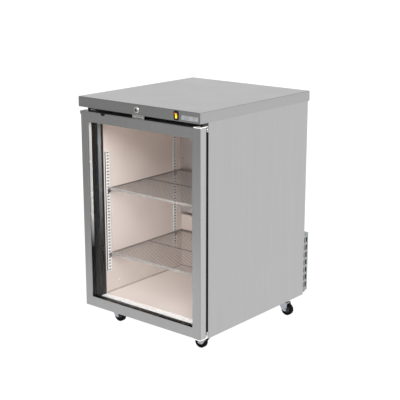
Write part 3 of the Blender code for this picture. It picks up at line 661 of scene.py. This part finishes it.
def makeScrew(name, place, facing):
    # pan head with a cross recess, its flat side on the place, looking along the facing axis
    place, facing = Vector(place), Vector(facing)
    head = addRound(name, place - facing * 0.0004, place + facing * screwHead["high"], screwHead["radius"], 20)
    roundEdges(head, 0.0009, 3,
               lambda edge: (middleOf(edge) - place).dot(facing) > screwHead["high"] * 0.9 and sharp(edge))
    top = place + facing * screwHead["high"]
    aside = [Vector(axis) for axis in ((1, 0, 0), (0, 1, 0), (0, 0, 1)) if abs(Vector(axis).dot(facing)) < 0.5]
    tools = []
    for long, short in (aside, aside[::-1]):
        half = long * 0.0021 + short * screwHead["slot"] / 2 + Vector([abs(part) for part in facing]) * 0.0008
        tools.append(addBlock("recess", top - half, top + half))
    return cutOut(head, *tools)


def makeScrews(name, spots, facing, finish, body, slot):
    first = makeScrew(name, spots[0], facing)
    others = [twin(first, "screw", Vector(spot) - Vector(spots[0])) for spot in spots[1:]]
    return done(fuse(first, *others), finish, body, slot)


linerLow, linerHigh = Vector((-0.260, places["inner_liner"][0].y, 0.1183)), Vector((0.260, 0.1978, 0.845))
cove = {"radius": 0.0055}


def makeCoves():
    # the liner's floor turns up into its walls in a small cove, so that it wipes clean; the cove is coloured
    # darker than the liner, painted shade in the corner
    r = cove["radius"]
    strips = []
    for side, sign in sides:
        corner = Vector((sign * linerHigh.x, 0, linerLow.z))
        inner = corner + Vector((-sign * r, 0, r))
        low = Vector((min(corner.x, inner.x), linerLow.y + 0.001, linerLow.z))
        high = Vector((max(corner.x, inner.x), linerHigh.y, linerLow.z + r))
        strip = addBlock("linerCoves", low, high)
        strips.append(cutOut(strip, addDisc("hollow", inner.x, inner.z, low.y - 0.01, high.y + 0.01, r, 40)))
    back = addBlock("backCove", (linerLow.x, linerHigh.y - r, linerLow.z),
                    (linerHigh.x, linerHigh.y, linerLow.z + r))
    centre = (linerHigh.y - r, linerLow.z + r)
    strips.append(cutOut(back, addRound("hollow", (-0.3, *centre), (0.3, *centre), r, 40)))
    return done(fuse(*strips), coveShade, "cabinet", "white_liner")


makeCoves()
wallSpots = [(0.086, 0.680), (-0.200, 0.160)]
for side, sign in sides:
    spots = [(sign * linerHigh.x, y, z) for y, z in wallSpots]
    makeScrews("wallScrews_" + side, spots, (-sign, 0, 0), sillWhite, "cabinet", "white_liner")
print("coved liner and its screws")

# painted shade: a dark backing on the wall behind each slotted pilaster, run out in front of the front pair as a
# dark line at their edge; the rear pair's backing is paler so that they read brighter, painted light
backingShade = {"thick": 0.0010, "inset": 0.0012, "frontEdge": 0.0042}
for place in strips:
    low, high = places["pilaster_" + place]
    wall = low.x if low.x < 0 else high.x
    face = wall + (backingShade["thick"] if low.x < 0 else -backingShade["thick"])
    start = low.y + (-backingShade["frontEdge"] if place.startswith("front") else backingShade["inset"])
    backing = addBlock("slotShadeBacking_" + place, (min(wall, face), start, low.z + backingShade["inset"]),
                       (max(wall, face), high.y - backingShade["inset"], high.z - backingShade["inset"]))
    roundEdges(backing, 0.0003, 1)
    done(backing, darkSlotShade if place.startswith("front") else paleSlotShade, "cabinet", "gasket_rubber")

lampCap = {"long": 0.006, "lip": 0.0012}


def makeLampCaps():
    low, high = places["interior_light"]
    caps = []
    for sign in (-1, 1):
        start = sign * high.x
        ends = sorted((start - sign * 0.002, start + sign * lampCap["long"]))
        cap = addBlock("lampEndCaps", (ends[0], low.y - lampCap["lip"], low.z - lampCap["lip"]),
                       (ends[1], high.y + lampCap["lip"], high.z))
        caps.append(roundEdges(cap, 0.0010, 3))
    return done(fuse(*caps), sillWhite, "cabinet", "light_diffuser")


makeLampCaps()
guard = {"wire": 0.0009, "rings": (0.016, 0.0235, 0.031, 0.0385, 0.046, 0.0535, 0.0615), "standOff": 0.0022,
         "x": 0.0, "z": 0.705, "spokes": 8, "spokeReach": (0.012, 0.064), "cap": 0.0145}


def makeGuard():
    # welded ring guard over the fan's mouth, with eight spokes and a centre cap
    x, z, y = guard["x"], guard["z"], places["evaporator_cover"][0].y - guard["standOff"]
    body = addRing("fanGuard", (x, y, z), (0, 1, 0), guard["rings"][0], guard["wire"])
    parts = [addRing("ring", (x, y, z), (0, 1, 0), radius, guard["wire"]) for radius in guard["rings"][1:]]
    for spoke in range(guard["spokes"]):
        turn = spoke * 2 * math.pi / guard["spokes"]
        start, end = [Vector((x + math.cos(turn) * reach, y + 0.0012, z + math.sin(turn) * reach))
                      for reach in guard["spokeReach"]]
        parts.append(addRound("spoke", start, end, guard["wire"], 8))
    cap = addDisc("cap", x, z, y - 0.001, y + 0.0020, guard["cap"], 32)
    parts.append(roundEdges(cap, 0.0012, 3))
    return done(fuse(body, *parts), zinc, "cabinet", "zinc_plate", angle=60)


makeGuard()
coverLow = places["evaporator_cover"][0]
coverSpots = [(x, coverLow.y, z) for x in (-0.248, 0.248) for z in (0.380, 0.606, 0.832)]
makeScrews("coverScrews", coverSpots, (0, -1, 0), nickel, "cabinet", "bright_steel")
print("evaporator guard and screws")


fan = {"blades": 5, "pitch": 62, "twist": -14, "cup": 24, "sheet": 0.0013}


def makeFan(node, hubRadius, tipRadius):
    # moulded fan: a domed hub and five cupped, twisted blades
    low, high = places[node]
    middle = (low + high) / 2
    depth = high.y - low.y
    hub = addDisc(node + "_moulding", middle.x, middle.z, low.y + 0.0005, high.y - 0.0005, hubRadius, 40)
    roundEdges(hub, 0.0030, 4)
    span = tipRadius - hubRadius + 0.003
    onlyActive()
    bpy.ops.mesh.primitive_grid_add(x_subdivisions=10, y_subdivisions=8, size=1, location=(0, 0, 0))
    blade = bpy.context.object
    blade.scale = (span, depth * 1.45, 1)
    settle(blade, "blade")
    pick(blade, "VERT", lambda corner: corner.co.x < -span * 0.3)
    bpy.ops.transform.resize(value=(1, 0.72, 1))
    leaveEdit()
    modify(blade, "SIMPLE_DEFORM", deform_method="TWIST", deform_axis="X", angle=math.radians(fan["twist"]))
    modify(blade, "SIMPLE_DEFORM", deform_method="BEND", deform_axis="X", angle=math.radians(fan["cup"]))
    modify(blade, "SOLIDIFY", thickness=fan["sheet"], offset=0)
    turned(blade, (0, 0, 0), "X", 90 - fan["pitch"])
    blade.location = middle + Vector((hubRadius + span / 2 - 0.003, 0, 0))
    settle(blade, "blade")
    bounds = [corner.co.y for corner in blade.data.vertices]
    squeeze = min(1, (depth - 0.001) / (max(bounds) - min(bounds)))
    pick(blade, "VERT", lambda corner: True)
    bpy.ops.transform.resize(value=(1, squeeze, 1), center_override=middle)
    bpy.ops.transform.translate(value=(0, middle.y - (max(bounds) + min(bounds)) / 2, 0))
    leaveEdit()
    blades = [blade]
    for turn in range(1, fan["blades"]):
        blades.append(turned(twin(blade, "blade"), middle, "Y", turn * 360 / fan["blades"]))
    return done(fuse(hub, *blades), fanBlack, node, "fan_plastic", node, angle=50)


makeFan("evaporator_fan", 0.018, 0.052)
makeFan("condenser_fan", 0.022, 0.080)
print("fans")


def makeFins(name, low, high, pitch, rows, tube):
    # a stack of thin fins with tubes run through it and U bends at both ends
    body = addBlock(name, low, (low.x + 0.0004, high.y, high.z))
    count = int((high.x - low.x - 0.0004) / pitch) + 1
    repeat(body, count, (pitch, 0, 0))
    parts = []
    step = (high.z - low.z) / rows
    for column in (0.3, 0.7):
        y = low.y + (high.y - low.y) * column
        for row in range(rows):
            z = low.z + step * (row + 0.5)
            parts.append(addRound("tube", (low.x - 0.004, y, z), (high.x + 0.004, y, z), tube, 10))
    for row in range(rows - 1):
        end = high.x + 0.004 if row % 2 else low.x - 0.004
        for column in (0.3, 0.7):
            y = low.y + (high.y - low.y) * column
            bend = addRing("bend", (end, y, low.z + step * (row + 1)), (0, 1, 0), step / 2, tube, 24, 8)
            inward = -1 if row % 2 else 1
            pick(bend, "FACE", lambda face: (face.calc_center_median().x - end) * inward > 0.0001)
            bpy.ops.mesh.delete(type="FACE")
            leaveEdit()
            parts.append(bend)
    return fuse(body, *parts)


coilLow, coilHigh = places["evaporator_coil"]
bend = Vector((0.018, 0, 0))    # room for the bends at each end
done(makeFins("evaporatorFins", coilLow + bend, coilHigh - bend, 0.0042, 8, 0.0042),
     finMetal, "cabinet", "coil_fins", "evaporator_coil")
coilLow, coilHigh = places["condenser_coil"]
motor = {"x": -0.150, "z": 0.198, "radius": 0.024, "arm": 0.085, "armTurns": (35, 145)}
condenser = makeFins("condenserFins", Vector((coilLow.x + 0.014, coilLow.y, coilLow.z)),
                     Vector((coilHigh.x - 0.014, coilLow.y + 0.036, coilHigh.z)), 0.0025, 9, 0.0040)
x, z = motor["x"], motor["z"]
can = addDisc("can", x, z, coilLow.y + 0.034, coilHigh.y, motor["radius"], 40)
roundEdges(can, 0.0040, 4)
arms = []
for turn in motor["armTurns"]:
    arm = addBlock("arm", (x - motor["arm"], coilLow.y + 0.0362, z - 0.003),
                   (x + motor["arm"], coilLow.y + 0.0380, z + 0.003))
    arms.append(turned(arm, (x, 0, z), "Y", turn))
done(fuse(condenser, can, *arms), finMetal, "cabinet", "coil_fins", "condenser_coil")
print("finned coils")


def makePipe(name, points, radius):
    # a bent tube through the points
    onlyActive()
    bpy.ops.curve.primitive_nurbs_path_add(location=(0, 0, 0))
    path = bpy.context.object
    path.data.splines.clear()
    line = path.data.splines.new("NURBS")
    line.points.add(len(points) - 1)
    for point, place in zip(line.points, points):
        point.co = (*place, 1)
    line.use_endpoint_u = True
    line.order_u = 3
    path.data.bevel_depth = radius
    path.data.bevel_resolution = 3
    path.data.use_fill_caps = True
    bpy.ops.object.convert(target="MESH")
    return settle(bpy.context.object, name)


pump = {"middle": (0.135, 0.296), "radius": (0.074, 0.0518), "low": 0.0905, "seam": 0.158, "high": 0.2285,
        "feet": (0.074, 0.038)}


def makeCompressor():
    # welded two-part shell on a foot plate with rubber grommets, and a terminal cover; the process stub is one of
    # the pipes below
    x, y = pump["middle"]
    wide, deep = pump["radius"]
    shell = addRound("compressorShell", (0, 0, pump["low"]), (0, 0, pump["high"]), 1.0, 64)
    shell.scale = (wide, deep, 1)
    shell.location = (x, y, 0)
    settle(shell, "compressorShell")
    roundEdges(shell, 0.026, 8, lambda edge: middleOf(edge).z > 0.22 and sharp(edge))
    roundEdges(shell, 0.014, 5, lambda edge: middleOf(edge).z < 0.092 and sharp(edge))
    seam = addRing("seam", (0, 0, 0), (0, 0, 1), 1.0, 0.03, 64, 8)
    seam.scale = (wide + 0.0002, deep + 0.0002, 0.09)
    seam.location = (x, y, pump["seam"])
    settle(seam, "seam")
    plate = addBlock("plate", (x - 0.084, y - 0.047, 0.0870), (x + 0.084, y + 0.047, 0.0895))
    roundEdges(plate, 0.010, 4, upright)
    cover = addBlock("terminals", (x - 0.022, y - deep - 0.006, 0.130), (x + 0.022, y - deep + 0.020, 0.185))
    roundEdges(cover, 0.004, 3)
    parts = [seam, plate, cover]
    for side in (-1, 1):
        for end in (-1, 1):
            at = (x + side * pump["feet"][0], y + end * pump["feet"][1])
            foot = addRound("foot", (*at, 0.0812), (*at, 0.0935), 0.0078, 24)
            parts.append(roundEdges(foot, 0.0016, 3))
            parts.append(addRound("bolt", (*at, 0.0930), (*at, 0.0975), 0.0045, 6))
    return done(fuse(shell, *parts), enamel, "cabinet", "black_enamel", "compressor", angle=40)


makeCompressor()
# each pipe's radius, then its points: two offsets from the pump's middle and a height
runs = {
    "refrigerantPipes": (0.0032, (-0.060, 0.020, 0.190), (-0.080, 0.020, 0.196), (-0.105, 0.010, 0.215),
                         (-0.120, -0.010, 0.255), (-0.172, -0.022, 0.286)),
    "suction": (0.0045, (0.066, 0.005, 0.190), (0.092, 0.005, 0.198), (0.108, 0.002, 0.225),
                (0.110, -0.012, 0.290), (0.110, -0.020, 0.336)),
    "process": (0.0030, (0.060, 0.020, 0.180), (0.084, 0.028, 0.186), (0.098, 0.030, 0.200),
                (0.100, 0.030, 0.228)),
}
x, y = pump["middle"]
pipes = [makePipe(name, [(x + aside, y + back, z) for aside, back, z in points], radius)
         for name, (radius, *points) in runs.items()]
done(fuse(*pipes), copper, "cabinet", "coil_fins")
print("compressor and its pipes")

backFace = places["back_panel"][1].y
backSpots = [(sx * 0.280, backFace, z) for sx in (-1, 1) for z in (0.360, 0.500, 0.640, 0.780, 0.880)]
backSpots += [(bx, backFace, 0.880) for bx in (-0.140, 0.0, 0.140)]
makeScrews("backPanelScrews", backSpots, (0, 1, 0), nickel, "cabinet", "bright_steel")
rearFace = places["rear_cover"][1].y
rearSpots = [(sx * 0.288, rearFace, z) for sx in (-1, 1) for z in (0.100, 0.330)]
makeScrews("rearCoverScrews", rearSpots, (0, 1, 0), nickel, "cabinet", "bright_steel")

gland = {"nut": 0.0135, "sleeve": 0.0085, "ribs": 5}


def makeGland():
    # a round flange, a hexagonal nut and a short ribbed sleeve with a bore
    low, high = places["cord_gland"]
    x, z = (low.x + high.x) / 2, (low.z + high.z) / 2
    flange = addDisc("cordGland", x, z, low.y, low.y + 0.0030, 0.0150, 40)
    nut = addDisc("nut", x, z, low.y + 0.0020, low.y + 0.0100, gland["nut"], 6)
    sleeve = addDisc("sleeve", x, z, low.y + 0.0090, high.y, gland["sleeve"] - 0.0012, 32)
    parts = [roundEdges(nut, 0.0008, 2), roundEdges(sleeve, 0.0010, 3)]
    for rib in range(gland["ribs"]):
        y = low.y + 0.0112 + rib * (high.y - low.y - 0.0130) / (gland["ribs"] - 1)
        parts.append(addRing("rib", (x, y, z), (0, 1, 0), gland["sleeve"] - 0.0014, 0.0008, 32, 8))
    bore = addDisc("bore", x, z, low.y + 0.010, high.y + 0.01, 0.0042, 24)
    cutOut(sleeve, bore)
    roundEdges(flange, 0.0006, 2)
    return done(fuse(flange, *parts), switchBlack, "cabinet", "black_plastic", "cord_gland")


makeGland()
print("back, cover screws and gland")

lockFit = {"ring": 0.0115, "bore": 0.0082, "barrel": 0.0092, "plug": 0.0077, "boss": 0.0058,
           "keyWide": 0.0017, "keyHigh": 0.0088, "keyDeep": 0.009}
lockLow, lockHigh = places["lock_housing"]
lockX, lockZ = (lockLow.x + lockHigh.x) / 2, (lockLow.z + lockHigh.z) / 2
fascia = places["worktop"][0].y


def makeLock():
    # rosette and barrel on the cabinet; plug with a keyway, cam and nut on the turning body
    ring = addDisc("lockRosette", lockX, lockZ, lockLow.y, fascia - 0.0002, lockFit["ring"], 48)
    roundEdges(ring, 0.0012, 4, lambda edge: middleOf(edge).y < lockLow.y + 0.0001 and sharp(edge))
    barrel = addDisc("barrel", lockX, lockZ, fascia - 0.0008, lockHigh.y, lockFit["barrel"], 40)
    drill(addDisc("bore", lockX, lockZ, lockLow.y - 0.01, lockHigh.y + 0.01, lockFit["bore"], 40), ring, barrel)
    done(fuse(ring, barrel), lockBright, "cabinet", "bright_steel", "lock_housing")
    low, high = places["lock_cylinder"]
    plug = addDisc("lockPlug", lockX, lockZ, low.y, fascia + 0.0300, lockFit["plug"], 40)
    roundEdges(plug, 0.0008, 3, lambda edge: middleOf(edge).y < low.y + 0.0001 and sharp(edge))
    key = addBlock("keyway", (lockX - lockFit["keyWide"] / 2, low.y - 0.01, lockZ - lockFit["keyHigh"] / 2),
                   (lockX + lockFit["keyWide"] / 2, low.y + lockFit["keyDeep"], lockZ + lockFit["keyHigh"] / 2))
    cutOut(plug, key)
    cam = addBlock("cam", (low.x, fascia + 0.0322, lockZ - 0.0050), (lockX + 0.0060, high.y, lockZ + 0.0050))
    roundEdges(cam, 0.0046, 4, goesBack)
    boss = addDisc("boss", lockX, lockZ, fascia + 0.0290, high.y - 0.0004, lockFit["boss"], 32)
    return done(fuse(plug, cam, boss), lockSatin, "lock", "bright_steel", "lock_cylinder")


makeLock()
switchFit = {"corner": 0.0030, "rim": 0.0010, "lensWide": 0.0086, "lensHigh": 0.0190, "tip": 7,
             "dishReach": (0.0030, 0.0055, 0.0080, 0.0105), "dishStep": 0.00032}


def dish(thing, front, z):
    # the front is hollowed in steps towards the middle, so that each half takes a fingertip
    onlyActive(thing)
    bpy.ops.object.mode_set(mode="EDIT")
    bpy.ops.mesh.select_all(action="SELECT")
    bpy.ops.mesh.subdivide(number_cuts=9)
    leaveEdit()
    for reach in switchFit["dishReach"]:
        nudge(thing, lambda corner: corner.co.y < front + 0.0014 and abs(corner.co.z - z) < reach,
              (0, switchFit["dishStep"], 0))


def makeSwitch():
    # snap-in bezel with a rolled rim, and a rocker dished on both halves
    low, high = places["switch_bezel"]
    x, z = (low.x + high.x) / 2, (low.z + high.z) / 2
    bezel = addBlock("switchBezel", (low.x, low.y, low.z), (high.x, fascia - 0.0002, high.z))
    roundEdges(bezel, switchFit["corner"], 5, goesBack)
    roundEdges(bezel, switchFit["rim"], 3, lambda edge: middleOf(edge).y < low.y + 0.0001 and sharp(edge))
    body = addBlock("body", (x - 0.0092, fascia - 0.0006, z - 0.0147), (x + 0.0092, high.y, z + 0.0147))
    drill(addBlock("hole", (x - 0.0077, low.y - 0.01, z - 0.0137), (x + 0.0077, fascia + 0.0140, z + 0.0137)),
          bezel, body)
    done(fuse(bezel, body), switchBlack, "cabinet", "black_plastic", "switch_bezel")
    pivot = (x, fascia + 0.0040, z)
    rocker = addBlock("switchRocker", (x - 0.0066, pivot[1] - 0.0066, z - 0.0122),
                      (x + 0.0066, pivot[1] + 0.0050, z + 0.0122))
    dish(rocker, pivot[1] - 0.0065, z)
    wide, tall = switchFit["lensWide"] / 2, switchFit["lensHigh"] / 2
    lens = addBlock("rockerLens", (x - wide, pivot[1] - 0.0071, z - tall), (x + wide, pivot[1] - 0.0040, z + tall))
    dish(lens, pivot[1] - 0.0070, z)
    for part in (rocker, lens):
        roundEdges(part, 0.0006, 2, lambda edge: edge.calc_face_angle(0) > 1.0)
        turned(part, pivot, "X", switchFit["tip"])
    done(rocker, switchBlack, "rocker", "black_plastic", "rocker_switch", angle=50)
    return done(lens, amber, "rocker", "amber_rocker", angle=50)


makeSwitch()


def makeBadge():
    # blank plate with a raised border and a pin at each end
    low, high = places["badge_plate"]
    plate = addBlock("badgeBlank", low, high)
    roundEdges(plate, 0.0016, 4, goesBack)
    pick(plate, "FACE", lambda face: face.normal.y < -0.9)
    bpy.ops.mesh.inset(thickness=0.0010)
    bpy.ops.mesh.extrude_region_move(TRANSFORM_OT_translate={"value": (0, 0.0004, 0)})
    leaveEdit()
    pins = []
    for x in (low.x + 0.0045, high.x - 0.0045):
        pin = addDisc("pin", x, (low.z + high.z) / 2, low.y - 0.0002, low.y + 0.0008, 0.0015, 20)
        pins.append(roundEdges(pin, 0.0004, 2))
    return done(fuse(plate, *pins), badgeSatin, "cabinet", "badge_plate", "badge_plate")


makeBadge()
print("lock, switch and badge")

hinge = {"x": 0.291, "y": fascia + 0.030, "washer": 0.0072, "pin": 0.0040,
         "legFace": fascia + 0.0519, "screws": (0.2775, 0.2940), "screwInset": 0.0085}
topLow, topHigh = places["hinge_bracket_top"]
bottomLow, bottomHigh = places["hinge_bracket_bottom"]
for place, z in (("top", topLow.z + hinge["screwInset"]), ("bottom", bottomHigh.z - hinge["screwInset"])):
    spots = [(x, hinge["legFace"], z) for x in hinge["screws"]]
    makeScrews("hingeScrews_" + place, spots, (0, -1, 0), nickel, "cabinet", "bright_steel")


def makeHingePins():
    # riveted ends of the hinge pins in dark nylon washers, on the outer faces of the brackets
    parts = []
    for z, way in ((topHigh.z, 1), (bottomLow.z, -1)):
        at = (hinge["x"], hinge["y"])
        washer = addRound("hingePinEnds", (*at, z), (*at, z + way * 0.0010), hinge["washer"], 32)
        head = addRound("head", (*at, z), (*at, z + way * 0.0022), hinge["pin"], 32)
        parts += [roundEdges(washer, 0.0003, 2), roundEdges(head, 0.0007, 3)]
    return done(fuse(*parts), switchBlack, "cabinet", "black_plastic")


makeHingePins()
doorLow, doorHigh = places["door_frame"]
lip = {"out": 0.0038, "wide": 0.0130, "proud": 0.0012, "deep": 0.0290, "drop": 0.0130, "round": 0.0030}


def makeCornerLip():
    # a folded cap over the door's free top corner, a finger grip that stands a little proud of the stile
    cap = addBlock("doorCornerLip",
                   (doorLow.x - lip["out"], doorLow.y - lip["proud"], doorHigh.z - lip["drop"]),
                   (doorLow.x + lip["wide"], doorLow.y + lip["deep"], doorHigh.z + 0.0012))
    roundEdges(cap, lip["round"], 4, lambda edge: middleOf(edge).x < doorLow.x and sharp(edge))
    inside = addBlock("inside", (doorLow.x - 0.0004, doorLow.y - 0.0004, doorHigh.z - 0.030),
                      (doorHigh.x, doorHigh.y + 0.02, doorHigh.z + 0.0002))
    cutOut(cap, inside)
    return done(cap, steelDoor, "door", "door_steel")


makeCornerLip()
notch = {"x": -0.1815, "radius": 0.0145, "down": 0.0090, "in": 0.0080, "wall": 0.0007}


def makeNotchCup():
    # a thin black moulding lines the half-round finger notch in the door's top edge
    x, z, front = notch["x"], doorHigh.z + notch["radius"] - notch["down"], doorLow.y
    outer = notch["radius"] - 0.0001
    cup = addDisc("notchCup", x, z, front + 0.0008, front + notch["in"] - 0.0001, outer, 64)
    hollow = addDisc("hollow", x, z, front - 0.01, front + notch["in"] - notch["wall"], outer - notch["wall"], 64)
    above = addBlock("above", (x - 0.03, front - 0.02, doorHigh.z - 0.0001),
                     (x + 0.03, front + 0.03, doorHigh.z + 0.03))
    cutOut(cup, hollow, above)
    return done(cup, switchBlack, "door", "black_plastic")


makeNotchCup()
print("hinge fittings and door corner")

caster = {"axle": (-0.216, -0.240, 0.0255), "swivel": (-0.244, -0.240), "tyre": 0.0255, "half": 0.0105,
          "race": 0.0210, "cup": 0.0190, "legIn": 0.0125, "legOut": 0.0149, "shaft": 0.0033, "nut": 0.0058,
          "rim": 0.0144, "boss": 0.0068, "ribs": 6}


def makeFork():
    x, y = caster["swivel"]
    axleX, axleY, axleZ = caster["axle"]
    race = addRound("race", (x, y, 0.0590), (x, y, 0.0636), caster["race"], 48)
    cup = addRound("cup", (x, y, 0.0556), (x, y, 0.0596), caster["cup"], 48)
    wide = caster["legOut"]
    crown = addBlock("crown", (x - 0.0190, y - wide, 0.0535), (x + 0.0370, y + wide, 0.0563))
    roundEdges(race, 0.0014, 3)
    roundEdges(cup, 0.0012, 3)
    roundEdges(crown, 0.0080, 5, upright)
    legs = []
    for sign in (-1, 1):
        ends = sorted((y + sign * caster["legIn"], y + sign * wide))
        leg = addBlock("leg", (x - 0.0150, ends[0], axleZ - 0.0070), (x + 0.0365, ends[1], 0.0560))
        pick(leg, "VERT", lambda corner: corner.co.z < 0.04)
        bpy.ops.transform.resize(value=(0.33, 1, 1), center_override=(axleX, y, axleZ))
        leaveEdit()
        roundEdges(leg, 0.0060, 5, lambda edge: middleOf(edge).z < 0.04 and goesBack(edge))
        legs.append(roundEdges(leg, 0.0004, 1))
    shaft = addDisc("axle", axleX, axleZ, y - 0.0160, y + 0.0160, caster["shaft"], 20)
    head = addDisc("head", axleX, axleZ, y - 0.0172, y - wide, caster["nut"], 6)
    nut = addDisc("nut", axleX, axleZ, y + wide, y + 0.0172, caster["nut"], 6)
    rivet = addRound("rivet", (x, y, 0.0520), (x, y, 0.0540), 0.0065, 24)
    for part in (head, nut, rivet):
        roundEdges(part, 0.0006, 2)
    return fuse(race, cup, crown, *legs, shaft, head, nut, rivet)


def makeTyre():
    x, y, z = caster["axle"]
    half = caster["half"]
    tyre = addDisc("tyre", x, z, y - half, y + half, caster["tyre"], 64)
    roundEdges(tyre, 0.0042, 5)
    for sign in (-1, 1):
        pick(tyre, "FACE", lambda face: face.normal.y * sign > 0.99 and face.calc_area() > 0.0005)
        bpy.ops.mesh.inset(thickness=0.0038)
        bpy.ops.mesh.extrude_region_move(TRANSFORM_OT_translate={"value": (0, -sign * 0.0032, 0)})
        leaveEdit()
    return cutOut(tyre, addDisc("bore", x, z, y - 0.02, y + 0.02, 0.0140, 40))


def makeHub():
    x, y, z = caster["axle"]
    rim = addDisc("hub", x, z, y - 0.0072, y + 0.0072, caster["rim"], 48)
    boss = addDisc("boss", x, z, y - 0.0115, y + 0.0115, caster["boss"], 32)
    roundEdges(rim, 0.0012, 3)
    roundEdges(boss, 0.0010, 3)
    drill(addDisc("bore", x, z, y - 0.02, y + 0.02, caster["shaft"] + 0.0004, 24), rim, boss)
    ribs = []
    for turn in range(caster["ribs"]):
        rib = addBlock("rib", (x + 0.0055, y - 0.0090, z - 0.0007), (x + 0.0136, y + 0.0090, z + 0.0007))
        ribs.append(turned(rib, (x, y, z), "Y", turn * 360 / caster["ribs"]))
    return fuse(rim, boss, *ribs)


models = {"fork": (makeFork(), zinc, "zinc_plate"), "tyre": (makeTyre(), tyreBlack, "caster_tyre"),
          "hub": (makeHub(), hubGrey, "fan_plastic")}
rearShift = places["caster_fork_rear_left"][0].y - places["caster_fork_front_left"][0].y
across = 2 * abs(caster["swivel"][0])
spots = {"front_left": (None, (0, 0, 0)), "front_right": ("x", (0, 0, 0)),
         "rear_right": (None, (across, rearShift, 0)), "rear_left": ("x", (-across, rearShift, 0))}
for place, (mirror, shift) in spots.items():
    for kind, (model, finish, slot) in models.items():
        name = "caster" + kind.capitalize() + "_" + place
        made = twin(model, name, mirror=mirror)
        made.location = shift
        settle(made, name)
        if kind == "fork":
            done(made, finish, place + "_fork", slot, "caster_fork_" + place)
        elif kind == "tyre":
            done(made, finish, place + "_wheel", slot, "caster_wheel_" + place)
        else:
            done(made, finish, place + "_wheel", slot)
for model, finish, slot in models.values():
    bpy.data.objects.remove(model, do_unlink=True)
print("casters")

softboxes = (
    # name, place, what it points at, size, watts
    ("keyRight", (3.6, -0.6, 2.6), (0.2, 0.0, 0.5), 2.4, 10.0),
    ("frontHigh", (1.6, -2.6, 3.05), (0.0, 0.0, 0.45), 2.4, 212.0),
)

bpy.ops.object.select_all(action="DESELECT")
bpy.ops.mesh.primitive_plane_add(size=studio["floorSize"], location=(0, 0, 0))
floor = bpy.context.object
floor.name = "studioFloor"
floorPaint, add, give = startFinish("whiteLitFloor", studio["floorColor"], 0.0, 0.7,
                                    Emission_Color=linear("ffffff"))
# a white floor lit from below: brightest by the object, and falling off towards the front left
forward = add("VectorMath", {"operation": "DOT_PRODUCT", 1: studio["floorWay"]},
              {0: add("TexCoord").outputs["Object"]})
near, far = studio["floorReach"]
reach = add("MapRange", {"From Min": near, "From Max": far, "To Min": studio["floorGlow"],
                         "To Max": studio["floorFar"], "interpolation_type": "SMOOTHSTEP"},
            {"Value": forward.outputs["Value"]})
give(Emission_Strength=reach)
floor.data.materials.append(floorPaint)

for name, place, aim, size, watts in softboxes:
    light = bpy.data.lights.new(name, "AREA")
    light.shape, light.size, light.energy = "SQUARE", size, watts
    lamp = bpy.data.objects.new(name, light)
    bpy.context.collection.objects.link(lamp)
    lamp.location = place
    lamp.rotation_euler = (Vector(aim) - Vector(place)).to_track_quat("-Z", "Y").to_euler()

# a white tent, open and darker towards the front, so that upright faces read darker than the top
world = bpy.data.worlds.new("studioTent")
world.use_nodes = True
skyTree = world.node_tree
sky = addNode(skyTree, "TexCoord")
front = addNode(skyTree, "VectorMath", {"operation": "DOT_PRODUCT", 1: studio["tentWay"]},
                {0: sky.outputs["Generated"]})
fade = addNode(skyTree, "MapRange", {"From Min": -0.3, "From Max": 0.7, "To Min": 1.0,
                                     "To Max": studio["tentFront"], "interpolation_type": "SMOOTHSTEP"},
               {"Value": front.outputs["Value"]})
background = skyTree.nodes["Background"]
background.inputs["Color"].default_value = linear(studio["skyColor"])
skyTree.links.new(fade.outputs[0], background.inputs["Strength"])
bpy.context.scene.world = world
bpy.context.scene.view_settings.view_transform = "Standard"

cameraData = bpy.data.cameras.new("studioCamera")
cameraData.lens = studio["lens"]
cameraData.sensor_width = 36.0
cameraData.clip_end = 100.0
camera = bpy.data.objects.new("studioCamera", cameraData)
bpy.context.collection.objects.link(camera)
camera.location = studio["camera"]
camera.rotation_euler = [math.radians(turn) for turn in studio["cameraTurn"]]
bpy.context.scene.camera = camera
print("stage, lights and camera")
